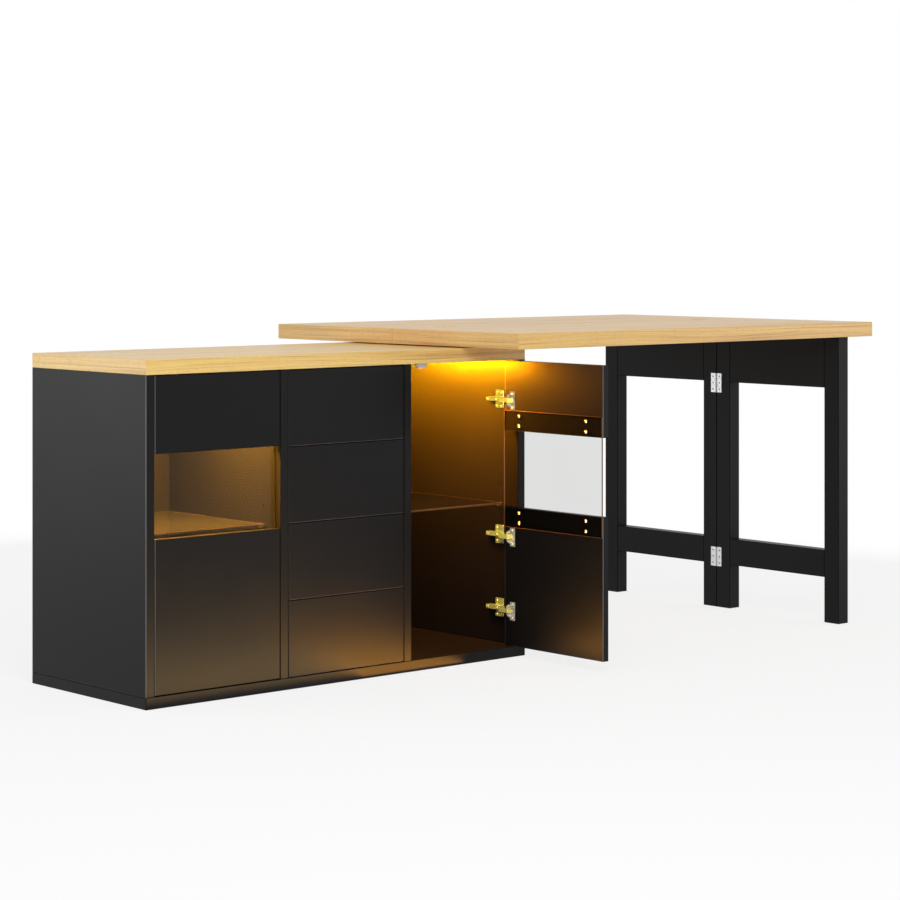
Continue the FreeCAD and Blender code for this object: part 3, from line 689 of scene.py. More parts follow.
class Workshop:
    """Makes pieces, dresses nodes and reports each one."""

    def __init__(self, finishes: Finishes) -> None:
        """Keeps the finishes."""
        self.finishes = finishes

    @staticmethod
    def dress(material: bpy.types.Material, *nodes: str) -> None:
        """Gives carried-over nodes a finish.

        Args:
            material: The finish.
            nodes: Names of the nodes.
        """
        for name in nodes:
            item = frame["nodes"][name]
            if not item.material_slots:
                item.data.materials.append(material)
            for slot in item.material_slots:
                slot.material = material
            LOG.info("node %s: %s", name, material.name)

    @staticmethod
    def piece(name: str, mesh: bpy.types.Mesh, material: bpy.types.Material, body: str, slot: Slot,
              stands_for: Iterable[str] = ()) -> None:
        """Adds a finished mesh as a piece of the object.

        Args:
            name: The piece's name.
            mesh: Its mesh, in place.
            material: Its finish.
            body: The body that it rides on.
            slot: The record's slot that the finish stands for; not used.
            stands_for: Nodes that it replaces.
        """
        mesh.name = name
        mesh.materials.clear()
        mesh.materials.append(material)
        item = bpy.data.objects.new(name, mesh)
        bpy.context.scene.collection.objects.link(item)
        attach(item, body)
        replaced = list(stands_for)
        if replaced:
            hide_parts(*replaced)
        LOG.info("piece %s: %d faces on %s", name, len(mesh.polygons), body)

    @staticmethod
    def merged(node: str) -> bmesh.types.BMesh:
        """A node's mesh with its loose triangles joined.

        Args:
            node: The node's name.

        Returns:
            The mesh, for the caller to free.
        """
        work = bmesh.new()
        work.from_mesh(frame["nodes"][node].data)
        bmesh.ops.remove_doubles(work, verts=work.verts, dist=MERGE_DISTANCE)
        return work

    @staticmethod
    def solids(node: str) -> list[Box]:
        """Boxes of the separate solids in one node.

        Args:
            node: The node's name.

        Returns:
            Low and high corner of each solid, sorted by X, Y and Z.
        """
        work = Workshop.merged(node)
        left = set(work.verts)
        boxes = []
        while left:
            first = left.pop()
            island, edge = [first], [first]
            while edge:
                vertex = edge.pop()
                for link in vertex.link_edges:
                    other = link.other_vert(vertex)
                    if other in left:
                        left.remove(other)
                        island.append(other)
                        edge.append(other)
            corners = [v.co for v in island]
            boxes.append((Vector(map(min, zip(*corners))), Vector(map(max, zip(*corners)))))
        work.free()
        return sorted(boxes, key=lambda box: tuple(round(c, 5) for c in box[0]))

    @staticmethod
    def eased_boxes(boxes: Sequence[Box], ease: float, segments: int = 2) -> bpy.types.Mesh:
        """Boxes with rounded edges in one mesh.

        Args:
            boxes: Low and high corner of each box.
            ease: Radius of the rounding.
            segments: Steps of the rounding.

        Returns:
            The mesh.
        """
        work = bmesh.new()
        for low, high in boxes:
            place = Matrix.Translation((low + high) / 2) @ Matrix.Diagonal((*(high - low), 1.0))
            bmesh.ops.create_cube(work, size=1.0, matrix=place)
        bmesh.ops.bevel(work, geom=list(work.edges), offset=ease, segments=segments, profile=0.5,
                        affect="EDGES", clamp_overlap=True)
        return plain_mesh(work, "eased")

    @staticmethod
    def joined(meshes: Sequence[bpy.types.Mesh]) -> bpy.types.Mesh:
        """Several meshes made one.

        Args:
            meshes: The meshes, which are used up.

        Returns:
            The joined mesh.
        """
        work = bmesh.new()
        for mesh in meshes:
            work.from_mesh(mesh)
            bpy.data.meshes.remove(mesh)
        return plain_mesh(work, "joined")

    def eased_boards(self, prefix: str, material: bpy.types.Material, body: str,
                     nodes: Iterable[str], light: PaintedEdgeHighlight) -> None:
        """Copies boards with their eased edges marked, each with its share of painted highlight, so that the
        finish can pick them out.

        Args:
            prefix: First word of each piece's name.
            material: The boards' finish.
            body: The body that they ride on.
            nodes: Names of the nodes, which the copies replace.
            light: Which edges get a painted highlight.
        """
        for node in nodes:
            work = self.merged(node)
            eased = work.faces.layers.float.new(EASED)
            lit = work.faces.layers.float.new(PAINTED_EDGE_HIGHLIGHT)
            for face in work.faces:
                if max(map(abs, face.normal)) < FLAT_NORMAL:
                    face[eased] = 1.0
                    # Painted highlight share, set by which way the edge faces.
                    face[lit] = light.share(face.normal)
            self.piece(f"{prefix}_{node}", plain_mesh(work, node), material, body, Slot.LAMINATE, [node])

    def panes(self, name: str, node: str, material: bpy.types.Material, body: str, band: float) -> None:
        """Glass panes with ground edges, which carry painted amber light, in place of a node.

        Args:
            name: Name of the panes' piece.
            node: The node that they replace.
            material: The glass.
            body: The body that they ride on.
            band: Width of the ground edge.
        """
        panes, edges = [], []
        for low, high in self.solids(node):
            size = high - low
            first, second = sorted(range(3), key=lambda axis: size[axis])[1:]
            inner_low, inner_high = low.copy(), high.copy()
            for axis in (first, second):
                inner_low[axis] += band
                inner_high[axis] -= band
            panes.append((inner_low, inner_high))
            for axis, other in ((first, second), (second, first)):
                for near in (True, False):
                    start, end = low.copy(), high.copy()
                    if near:
                        end[axis] = low[axis] + band
                    else:
                        start[axis] = high[axis] - band
                    if axis == second:
                        start[other] += band
                        end[other] -= band
                    edges.append((start, end))
        self.piece(name, self.eased_boxes(panes, band / PANE_EASE_PARTS), material, body, Slot.GLASS, [node])
        self.piece(f"{name}_edges", self.eased_boxes(edges, band / GROUND_EASE_PARTS),
                   self.finishes.painted_amber_glass_edge, body, Slot.GLASS)

    def softened(self, name: str, node: str, material: bpy.types.Material, body: str, slot: Slot,
                 ease: float) -> None:
        """A copy of a stamped or moulded node with its sharp edges rounded, in place of the node.

        Args:
            name: The piece's name.
            node: The node.
            material: The finish.
            body: The body that it rides on.
            slot: The record's slot.
            ease: Radius of the rounding.
        """
        work = self.merged(node)
        bmesh.ops.dissolve_limit(work, angle_limit=FLAT_ANGLE, verts=work.verts, edges=work.edges)
        sharp = [edge for edge in work.edges if edge.is_manifold and edge.calc_face_angle() > SHARP_ANGLE]
        bmesh.ops.bevel(work, geom=sharp, offset=ease, segments=2, profile=0.5, affect="EDGES",
                        clamp_overlap=True)
        self.piece(name, plain_mesh(work, node), material, body, slot, [node])


@dataclass(frozen=True)
class FlatPlate:
    """A stamped plate, drawn flat in its first two directions and then put in place."""

    outline: tuple[tuple[float, float], ...]
    holes: tuple[tuple[float, float, float], ...]
    thickness: float
    corner: float
    ease: float
    arc_steps: int = 5
    hole_steps: int = 16

    def _rounded(self) -> list[tuple[float, float]]:
        """Points of the outline with each corner as an arc.

        Returns:
            The points, in order.
        """
        points = []
        count = len(self.outline)
        for i, here in enumerate(self.outline):
            spot = Vector(here)
            back = (Vector(self.outline[i - 1]) - spot).normalized()
            ahead = (Vector(self.outline[(i + 1) % count]) - spot).normalized()
            centre = spot + (back + ahead) * self.corner
            for step in range(self.arc_steps + 1):
                turn = math.pi / 2 * step / self.arc_steps
                spoke = ahead * math.cos(turn) + back * math.sin(turn)
                points.append(tuple(centre - spoke * self.corner))
        return points

    def mesh(self, place: Matrix) -> bpy.types.Mesh:
        """The plate's mesh.

        Args:
            place: Where the flat drawing goes, with its underside at the drawing's plane.

        Returns:
            The mesh in place.
        """
        curve = bpy.data.curves.new("plate", "CURVE")
        curve.dimensions = "2D"
        curve.fill_mode = "BOTH"
        curve.extrude = self.thickness / 2 - self.ease
        curve.bevel_depth = self.ease
        curve.bevel_resolution = 1
        curve.offset = -self.ease
        loops = [self._rounded()]
        turns = [2 * math.pi * k / self.hole_steps for k in range(self.hole_steps)]
        for x, y, radius in self.holes:
            loops.append([(x + radius * math.cos(t), y + radius * math.sin(t)) for t in turns])
        for loop in loops:
            spline = curve.splines.new("POLY")
            spline.points.add(len(loop) - 1)
            spline.use_cyclic_u = True
            for point, (x, y) in zip(spline.points, loop):
                point.co = (x, y, 0.0, 1.0)
        mesh = evaluated_mesh(bpy.data.objects.new("plate", curve))
        bpy.data.curves.remove(curve)
        work = bmesh.new()
        work.from_mesh(mesh)
        bmesh.ops.remove_doubles(work, verts=work.verts, dist=MERGE_DISTANCE)
        work.to_mesh(mesh)
        work.free()
        mesh.transform(place @ Matrix.Translation((0.0, 0.0, self.thickness / 2)))
        return mesh


class RowTree:
    """Geometry nodes that set one shape on every point, with named inputs for its sizes."""

    def __init__(self, name: str, kinds: dict[str, str]) -> None:
        """Makes the tree's sockets.

        Args:
            name: The tree's name.
            kinds: Kind of socket of each named input.
        """
        self.name = name
        self.tree = bpy.data.node_groups.new(name, "GeometryNodeTree")
        self.graph = Graph(self.tree)
        self.inputs: dict[str, str] = {}
        face = self.tree.interface
        for way in ("OUTPUT", "INPUT"):
            face.new_socket("Geometry", in_out=way, socket_type="NodeSocketGeometry")
        for label, kind in {**kinds, "Finish": "Material"}.items():
            socket = face.new_socket(label, in_out="INPUT", socket_type=f"NodeSocket{kind}")
            self.inputs[label] = socket.identifier
        self.given = self.graph.node("NodeGroupInput")

    def close(self, points: Wire, shape: Wire, turn: Wire | None = None) -> None:
        """Sets the shape on the points, makes it real, paints it and ends the tree.

        Args:
            points: The points.
            shape: What stands on each.
            turn: Its rotation, where it is turned.
        """
        inputs = {"Points": points, "Instance": shape}
        if turn:
            inputs["Rotation"] = turn
        placed = self.graph.node("GeometryNodeInstanceOnPoints", None, inputs)
        whole = self.graph.node("GeometryNodeRealizeInstances", None, {"Geometry": placed.wire()})
        painted = self.graph.node("GeometryNodeSetMaterial", None, {
            "Geometry": whole.wire(), "Material": self.given.wire("Finish")})
        self.graph.node("NodeGroupOutput", None, {0: painted.wire()})

    def made(self, places: Sequence[Vector], values: dict[str, Any]) -> bpy.types.Mesh:
        """Runs the tree.

        Args:
            places: Points of the mesh that goes in.
            values: The named inputs.

        Returns:
            One plain mesh.
        """
        points = bpy.data.meshes.new(self.name)
        points.from_pydata([tuple(p) for p in places], [], [])
        item = bpy.data.objects.new(self.name, points)
        modifier = item.modifiers.new(self.name, "NODES")
        modifier.node_group = self.tree
        for label, value in values.items():
            modifier[self.inputs[label]] = value
        mesh = evaluated_mesh(item)
        bpy.data.meshes.remove(points)
        return mesh


class FastenerTree(RowTree):
    """Geometry nodes that put a cross-recessed screw head on every point of a mesh."""

    round_steps = 20
    top_share = 0.8
    bar_length = 1.15
    bar_width = 0.26
    recess_lift = 0.95

    def __init__(self) -> None:
        """Builds the tree."""
        super().__init__("screw_heads", {"Radius": "Float", "Height": "Float", "Turn": "Vector"})
        graph, given = self.graph, self.given
        radius, height = given.wire("Radius"), given.wire("Height")
        head = graph.node("GeometryNodeMeshCone", None, {
            "Vertices": self.round_steps, "Radius Top": radius * self.top_share, "Radius Bottom": radius,
            "Depth": height})
        bars = []
        for long, wide in ((self.bar_length, self.bar_width), (self.bar_width, self.bar_length)):
            size = graph.node("ShaderNodeCombineXYZ", None, {0: radius * long, 1: radius * wide, 2: height})
            bars.append(graph.node("GeometryNodeMeshCube", None, {"Size": size.wire()}).wire("Mesh"))
        lift = graph.node("ShaderNodeCombineXYZ", None, {2: height * self.recess_lift})
        cross = graph.node("GeometryNodeTransform", None, {
            "Geometry": graph.node("GeometryNodeMeshBoolean", {"operation": "UNION"}, {1: bars}).wire("Mesh"),
            "Translation": lift.wire()})
        slotted = graph.node("GeometryNodeMeshBoolean", {"operation": "DIFFERENCE"}, {
            0: head.wire("Mesh"), 1: [cross.wire()]})
        turn = graph.node("FunctionNodeEulerToRotation", None, {0: given.wire("Turn")})
        self.close(given.wire("Geometry"), slotted.wire("Mesh"), turn.wire())

    def heads(self, places: Sequence[Vector], radius: float, height: float, facing: Facing,
              material: bpy.types.Material) -> bpy.types.Mesh:
        """Screw heads on a row of points.

        Args:
            places: Where each head's underside rests.
            radius: A head's radius.
            height: A head's height.
            facing: Which way the heads point.
            material: Their finish.

        Returns:
            One plain mesh with all the heads.
        """
        values = {"Radius": radius, "Height": height, "Turn": facing.value, "Finish": material}
        return self.made(places, values)


class DiodeTree(RowTree):
    """Geometry nodes that set small square diodes in a row."""

    def __init__(self) -> None:
        """Builds the tree."""
        super().__init__("diode_row", {"Count": "Int", "Start": "Vector", "Step": "Vector", "Size": "Vector"})
        graph, given = self.graph, self.given
        row = graph.node("GeometryNodeMeshLine", {"mode": "OFFSET"}, {
            "Count": given.wire("Count"), "Start Location": given.wire("Start"),
            "Offset": given.wire("Step")})
        chip = graph.node("GeometryNodeMeshCube", None, {"Size": given.wire("Size")})
        self.close(row.wire(), chip.wire("Mesh"))

    def row(self, start: Vector, step: Vector, count: int, size: Vector,
            material: bpy.types.Material) -> bpy.types.Mesh:
        """One row of diodes.

        Args:
            start: Middle of the first one.
            step: From one to the next.
            count: How many.
            size: A diode's size.
            material: Their finish.

        Returns:
            One plain mesh.
        """
        values = {"Count": count, "Start": start, "Step": step, "Size": size, "Finish": material}
        return self.made((), values)


@dataclass
class Carcass:
    """Dark boards of the cabinet. The left side's upright edges get a painted highlight."""

    shop: Workshop
    boards: tuple[str, ...] = ("base_slab", "left_side_panel", "right_side_panel", "left_divider",
                               "right_divider", "back_panel")
    painted_highlight_board: str = "left_side_panel"

    def build(self) -> None:
        """Makes the boards."""
        for board in self.boards:
            light = PaintedEdgeHighlight(left=1.0) if board == self.painted_highlight_board else PaintedEdgeHighlight()
            self.shop.eased_boards("laminate", self.shop.finishes.laminate, "cabinet", [board], light)


@dataclass
class OakTops:
    """Worktop and the table's two leaves, with the grain laid along every face."""

    shop: Workshop
    table_shift: float = 2.37

    def build(self) -> None:
        """Makes each top from its node, with a UV map for the grain, which runs on from leaf to leaf."""
        finishes = self.shop.finishes
        for name, node, body, material, shift in (
                ("oak_worktop", "countertop", "cabinet", finishes.oak, 0.0),
                ("oak_rear_leaf", "rear_leaf", "table", finishes.shaded_table_oak, self.table_shift),
                ("oak_front_leaf", "front_leaf", "front_leaf", finishes.shaded_table_oak, self.table_shift)):
            self.shop.piece(name, self._grained(node, shift), material, body, Slot.OAK, [node])

    @staticmethod
    def _grained(node: str, shift: float) -> bpy.types.Mesh:
        """A merged copy of a node with grain along X, and along Y on its ends.

        Args:
            node: The node's name.
            shift: How far the grain is moved, so that worktop and table differ.

        Returns:
            The copy.
        """
        work = Workshop.merged(node)
        layer = work.loops.layers.uv.new(GRAIN)
        for face in work.faces:
            x, y, z = (abs(c) for c in face.normal)
            for loop in face.loops:
                place = loop.vert.co
                if z >= max(x, y):
                    spot = (place.x, place.y)
                elif y >= x:
                    spot = (place.x, place.y + place.z)
                else:
                    spot = (place.y, place.x + place.z)
                loop[layer].uv = (spot[0] + shift, spot[1] + shift)
        return plain_mesh(work, node)


@dataclass
class LightStrips:
    """Two light strips: an aluminium channel, a frosted cover and a row of diodes in each."""

    shop: Workshop
    diodes: DiodeTree
    wall: float = 1.0 * MM
    channel_ease: float = 0.2 * MM
    cover: float = 1.6 * MM
    cover_recess: float = 0.3 * MM
    cover_ease: float = 0.5 * MM
    chip: Vector = field(default_factory=lambda: Vector((3.5 * MM, 2.8 * MM, 0.8 * MM)))
    boxes: list[Box] = field(default_factory=list)

    def build(self) -> None:
        """Makes the channels, covers and diodes."""
        shop, finishes = self.shop, self.shop.finishes
        self.boxes = shop.solids("light_strips")
        channels, covers, chips = [], [], []
        step = Vector((DIODE_PITCH, 0.0, 0.0))
        side = Vector((0.0, self.wall, 0.0))
        for low, high in self.boxes:
            channels += [(low, Vector((high.x, low.y + self.wall, high.z))),
                         (Vector((low.x, high.y - self.wall, low.z)), high),
                         (Vector((low.x, low.y, high.z - self.wall)) + side, high - side)]
            covers.append((low + side + Vector((self.wall, 0.0, self.cover_recess)),
                           Vector((high.x - self.wall, high.y - self.wall, low.z + self.cover))))
            count = int((high.x - low.x) / DIODE_PITCH) - 1
            start = Vector(((low.x + high.x) / 2 - (count - 1) * DIODE_PITCH / 2, (low.y + high.y) / 2,
                            high.z - self.wall - self.chip.z / 2))
            chips.append(self.diodes.row(start, step, count, self.chip, finishes.diffuser))
        shop.piece("strip_channels", shop.eased_boxes(channels, self.channel_ease), finishes.aluminium,
                   "cabinet", Slot.STEEL)
        shop.piece("strip_covers", shop.eased_boxes(covers, self.cover_ease), finishes.diffuser, "cabinet",
                   Slot.DIFFUSER, ["light_strips"])
        shop.piece("strip_diodes", shop.joined(chips), finishes.diffuser, "cabinet", Slot.DIFFUSER)


@dataclass
class Compartments:
    """Glass shelves, their pins, and the door stops."""

    shop: Workshop
    fasteners: FastenerTree
    ground_edge: float = 0.8 * MM
    stop_round: float = 4.0 * MM
    stop_steps: int = 4
    stop_screw: float = 3.2 * MM
    stop_screw_height: float = 1.4 * MM

    def build(self) -> None:
        """Makes the panes and stops, and dresses the pins."""
        shop, finishes = self.shop, self.shop.finishes
        shop.panes("shelf_panes", "glass_shelves", finishes.shelf_glass, "cabinet", self.ground_edge)
        shop.dress(finishes.nickel, "shelf_pins")
        stops = shop.solids("door_stops")
        shop.piece("rounded_door_stops", shop.eased_boxes(stops, self.stop_round, self.stop_steps),
                   finishes.plastic, "cabinet", Slot.PLASTIC, ["door_stops"])
        places = [Vector(((low.x + high.x) / 2, (low.y + high.y) / 2, low.z)) for low, high in stops]
        heads = self.fasteners.heads(places, self.stop_screw, self.stop_screw_height, Facing.DOWN,
                                     finishes.zinc)
        shop.piece("door_stop_screws", heads, finishes.zinc, "cabinet", Slot.STEEL)


@dataclass
class Door:
    """One door: two boards, the pane between them, its domed screws and the hinge cups."""

    shop: Workshop
    fasteners: FastenerTree
    name: str
    inward: Facing
    # Share of painted highlight on the door boards' upright left edges.
    edge_light: float = 0.8
    ground_edge: float = 0.8 * MM
    cup_ease: float = 0.4 * MM
    cup_least_height: float = 40.0 * MM
    flange_thickness: float = 1.2 * MM
    flange_margin: float = 6.5 * MM
    flange_screw: float = 3.6 * MM
    flange_screw_height: float = 1.5 * MM
    flange_screw_lift: float = 0.3
    flange_screw_inset: float = 9.5 * MM

    def build(self) -> None:
        """Makes the boards, cups, pane and flange screws, and dresses the domed screws."""
        shop, finishes = self.shop, self.shop.finishes
        panels = (f"{self.name}_upper_panel", f"{self.name}_lower_panel")
        shop.eased_boards("laminate", finishes.laminate, self.name, panels, PaintedEdgeHighlight(left=self.edge_light))
        shop.dress(finishes.nickel, f"{self.name}_window_screws")
        shop.softened(f"{self.name}_softened_cups", f"{self.name}_hinge_cups", finishes.satin, self.name,
                      Slot.NICKEL, self.cup_ease)
        shop.panes(f"{self.name}_pane", f"{self.name}_window_glass", finishes.window_glass, self.name,
                   self.ground_edge)
        heads = self.fasteners.heads(self._screw_places(), self.flange_screw, self.flange_screw_height,
                                     self.inward, finishes.nickel)
        shop.piece(f"{self.name}_flange_screws", heads, finishes.nickel, self.name, Slot.NICKEL)

    def _screw_places(self) -> list[Vector]:
        """Middles of the two screws on each cup's flange.

        Returns:
            One place for each screw.
        """
        low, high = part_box(f"{self.name}_lower_panel")
        cups = [box for box in self.shop.solids(f"{self.name}_hinge_cups")
                if box[1].z - box[0].z > self.cup_least_height]
        rise = self.flange_thickness + self.flange_screw_height * self.flange_screw_lift
        places = []
        for bottom, top in cups:
            for z in (bottom.z + self.flange_margin, top.z - self.flange_margin):
                if self.inward is Facing.BACK:
                    places.append(Vector((top.x - self.flange_screw_inset, high.y + rise, z)))
                else:
                    places.append(Vector((low.x - rise, bottom.y + self.flange_screw_inset, z)))
        return places


@dataclass
class HingeMounts:
    """Cross-shaped mounting plates of the concealed hinges, with saddle and screws, and the cranked arms."""

    shop: Workshop
    fasteners: FastenerTree
    plate_thickness: float = 3.0 * MM
    plate_ease: float = 0.9 * MM
    wing_width: float = 33.0 * MM
    corner: float = 3.0 * MM
    hole: float = 2.5 * MM
    hole_inset: float = 7.0 * MM
    plate_screw: float = 3.4 * MM
    saddle_height: float = 13.0 * MM
    saddle_ease: float = 1.2 * MM
    saddle_steps: int = 3
    tail_height: float = 10.0 * MM
    tail_lip: float = 1.0 * MM
    tail_lap: float = 1.0 * MM
    tail_screw_inset: float = 7.0 * MM
    arm_thickness: float = 4.0 * MM
    arm_ease: float = 0.7 * MM
    screw: float = 4.2 * MM
    screw_height: float = 2.0 * MM

    def build(self) -> None:
        """Makes the plates, the arms and their screws."""
        shop, finishes = self.shop, self.shop.finishes
        shop.softened("softened_hinge_arms", "hinge_arms", finishes.nickel, "cabinet", Slot.NICKEL,
                      self.arm_ease)
        meshes, saddles = [], []
        places: dict[Facing, list[Vector]] = {Facing.RIGHT: [], Facing.LEFT: []}
        fixings: dict[Facing, list[Vector]] = {Facing.RIGHT: [], Facing.LEFT: []}
        for low, high in shop.solids("hinge_plates"):
            on_left = low.x < 0
            outward = Facing.RIGHT if on_left else Facing.LEFT
            meshes.append(self._plate(low, high, on_left))
            saddles += self._saddle(low, high)
            face = high.x + self.arm_thickness if on_left else low.x - self.arm_thickness
            plate = low.x + self.plate_thickness if on_left else high.x - self.plate_thickness
            for y in (low.y + self.wing_width / 2, high.y - self.tail_screw_inset):
                places[outward].append(Vector((face, y, (low.z + high.z) / 2)))
            for y in (low.y + self.hole_inset, low.y + self.wing_width - self.hole_inset):
                for z in (low.z + self.hole_inset, high.z - self.hole_inset):
                    fixings[outward].append(Vector((plate, y, z)))
        meshes.append(shop.eased_boxes(saddles, self.saddle_ease, self.saddle_steps))
        shop.piece("hinge_mounts", shop.joined(meshes), finishes.nickel, "cabinet", Slot.NICKEL,
                   ["hinge_plates"])
        for name, spots_by_side, radius, height in (
                ("hinge_arm_screws", places, self.screw, self.screw_height),
                ("hinge_plate_screws", fixings, self.plate_screw, self.screw_height / 2)):
            heads = [self.fasteners.heads(spots, radius, height, facing, finishes.nickel)
                     for facing, spots in spots_by_side.items()]
            shop.piece(name, shop.joined(heads), finishes.nickel, "cabinet", Slot.STEEL)

    def _plate(self, low: Vector, high: Vector, on_left: bool) -> bpy.types.Mesh:
        """One cross-shaped plate on its upright.

        Args:
            low: Low corner of the plate's solid.
            high: Its high corner.
            on_left: True for a plate on the left upright.

        Returns:
            The plate in place.
        """
        half = (high.z - low.z) / 2
        arm = self.tail_height / 2 + self.tail_lip
        depth = high.y - low.y
        wing = self.wing_width
        outline = ((0.0, -half), (wing, -half), (wing, -arm), (depth, -arm),
                   (depth, arm), (wing, arm), (wing, half), (0.0, half))
        holes = tuple((x, z, self.hole) for x in (self.hole_inset, wing - self.hole_inset)
                      for z in (-half + self.hole_inset, half - self.hole_inset))
        turn = Matrix(((0.0, 0.0, 1.0), (1.0, 0.0, 0.0), (0.0, 1.0, 0.0))).to_4x4()
        x = low.x if on_left else high.x - self.plate_thickness
        place = Matrix.Translation((x, low.y, (low.z + high.z) / 2)) @ turn
        return FlatPlate(outline, holes, self.plate_thickness, self.corner, self.plate_ease).mesh(place)

    def _saddle(self, low: Vector, high: Vector) -> list[Box]:
        """The raised block that carries the arm, and its narrower tail.

        Args:
            low: Low corner of the plate's solid.
            high: Its high corner.

        Returns:
            The corners of block and tail.
        """
        middle = (low.z + high.z) / 2
        neck = low.y + self.wing_width
        blocks = []
        for height, start, end in ((self.saddle_height, low.y, neck),
                                   (self.tail_height, neck - self.tail_lap, high.y)):
            foot, head = middle - height / 2, middle + height / 2
            blocks.append((Vector((low.x, start, foot)), Vector((high.x, end, head))))
        return blocks


@dataclass
class Drawer:
    """One drawer: its front, box and slides."""

    shop: Workshop
    number: int
    # Painted highlight on the drawer front's left and lower edges.
    edge_light: PaintedEdgeHighlight = PaintedEdgeHighlight(left=0.15, down=0.65)

    def build(self) -> None:
        """Makes the front and dresses the box and the slides."""
        shop, finishes = self.shop, self.shop.finishes
        name = f"drawer_{self.number}"
        shop.eased_boards("laminate", finishes.laminate, name, [f"{name}_front"], self.edge_light)
        shop.dress(finishes.drawer, f"{name}_sides", f"{name}_back", f"{name}_bottom")
        shop.dress(finishes.zinc, f"{name}_runners")


@dataclass
class Table:
    """Swivel, leg frame, and the hinges of the leaf and of the leg frame."""

    shop: Workshop
    fasteners: FastenerTree
    screw: float = 2.6 * MM
    screw_height: float = 0.8 * MM
    end_margin: float = 10.0 * MM
    rear_screw_share: float = 0.66
    front_screw_share: float = 0.34
    leaf_thickness: float = 2.0 * MM
    leaf_least_width: float = 8.0 * MM
    leg_nodes: tuple[str, ...] = ("leg_posts", "top_rail", "lower_rail")

    def build(self) -> None:
        """Makes the leg frame and its hinge screws and dresses the table's metal."""
        shop, finishes = self.shop, self.shop.finishes
        for half, body, share in (("rear", "table", self.rear_screw_share),
                                  ("front", "front_leg", self.front_screw_share)):
            boards = [f"{half}_{node}" for node in self.leg_nodes]
            shop.eased_boards(LEG_PREFIX, finishes.paint, body, boards, PaintedEdgeHighlight())
            shop.dress(finishes.zinc, f"{half}_leg_hinges")
            shop.dress(finishes.brass, f"{half}_leaf_hinges")
            self._leg_hinge_screws(half, body, share)
        shop.dress(finishes.zinc, "swivel_base_plate", "swivel_top_plate", "cabinet_runners")
        shop.dress(finishes.felt, "glide_pads")

    def _leg_hinge_screws(self, half: str, body: str, share: float) -> None:
        """Three screws down each butt hinge leaf.

        Args:
            half: rear or front.
            body: The body that the leaf rides on.
            share: How far across the leaf they sit.
        """
        leaves = [(low, high) for low, high in self.shop.solids(f"{half}_leg_hinges")
                  if sorted(high - low)[1] > self.leaf_least_width]
        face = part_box(f"{half}_leg_posts")[0].x - self.leaf_thickness
        places = []
        for low, high in leaves:
            y = low.y + share * (high.y - low.y)
            for z in (low.z + self.end_margin, (low.z + high.z) / 2, high.z - self.end_margin):
                places.append(Vector((face, y, z)))
        heads = self.fasteners.heads(places, self.screw, self.screw_height, Facing.LEFT,
                                     self.shop.finishes.screw)
        self.shop.piece(f"{half}_leg_hinge_screws", heads, self.shop.finishes.screw, body, Slot.STEEL)


@dataclass(frozen=True)
class SoftLamp:
    """A soft rectangular lamp that the camera doesn't see."""

    name: str
    place: Vector
    target: Vector
    size: tuple[float, float]
    power: float
    colour: Colour = WHITE
    only_reflected: bool = False

    def build(self, receivers: bpy.types.Collection | None = None) -> None:
        """Hangs the lamp.

        Args:
            receivers: The list of what it lights, where that isn't everything.
        """
        data = bpy.data.lights.new(self.name, "AREA")
        data.shape = "RECTANGLE"
        data.size, data.size_y = self.size
        data.energy = self.power
        data.color = self.colour
        lamp = bpy.data.objects.new(self.name, data)
        lamp.location = self.place
        lamp.rotation_euler = (self.target - self.place).to_track_quat("-Z", "Y").to_euler()
        lamp.visible_camera = False
        lamp.visible_diffuse = not self.only_reflected
        lamp.light_linking.receiver_collection = receivers
        bpy.context.scene.collection.objects.link(lamp)


@dataclass(frozen=True)
class StripLight:
    """What a strip sheds straight down: how far in from its ends, how strong and in what colour."""

    inset: float
    power: float
    colour: Colour


@dataclass(frozen=True)
class WallLight:
    """What the open compartment's strip sheds on both side walls, along part of their depth."""

    reach: float
    start: float
    length: float
    power: float
    colour: Colour


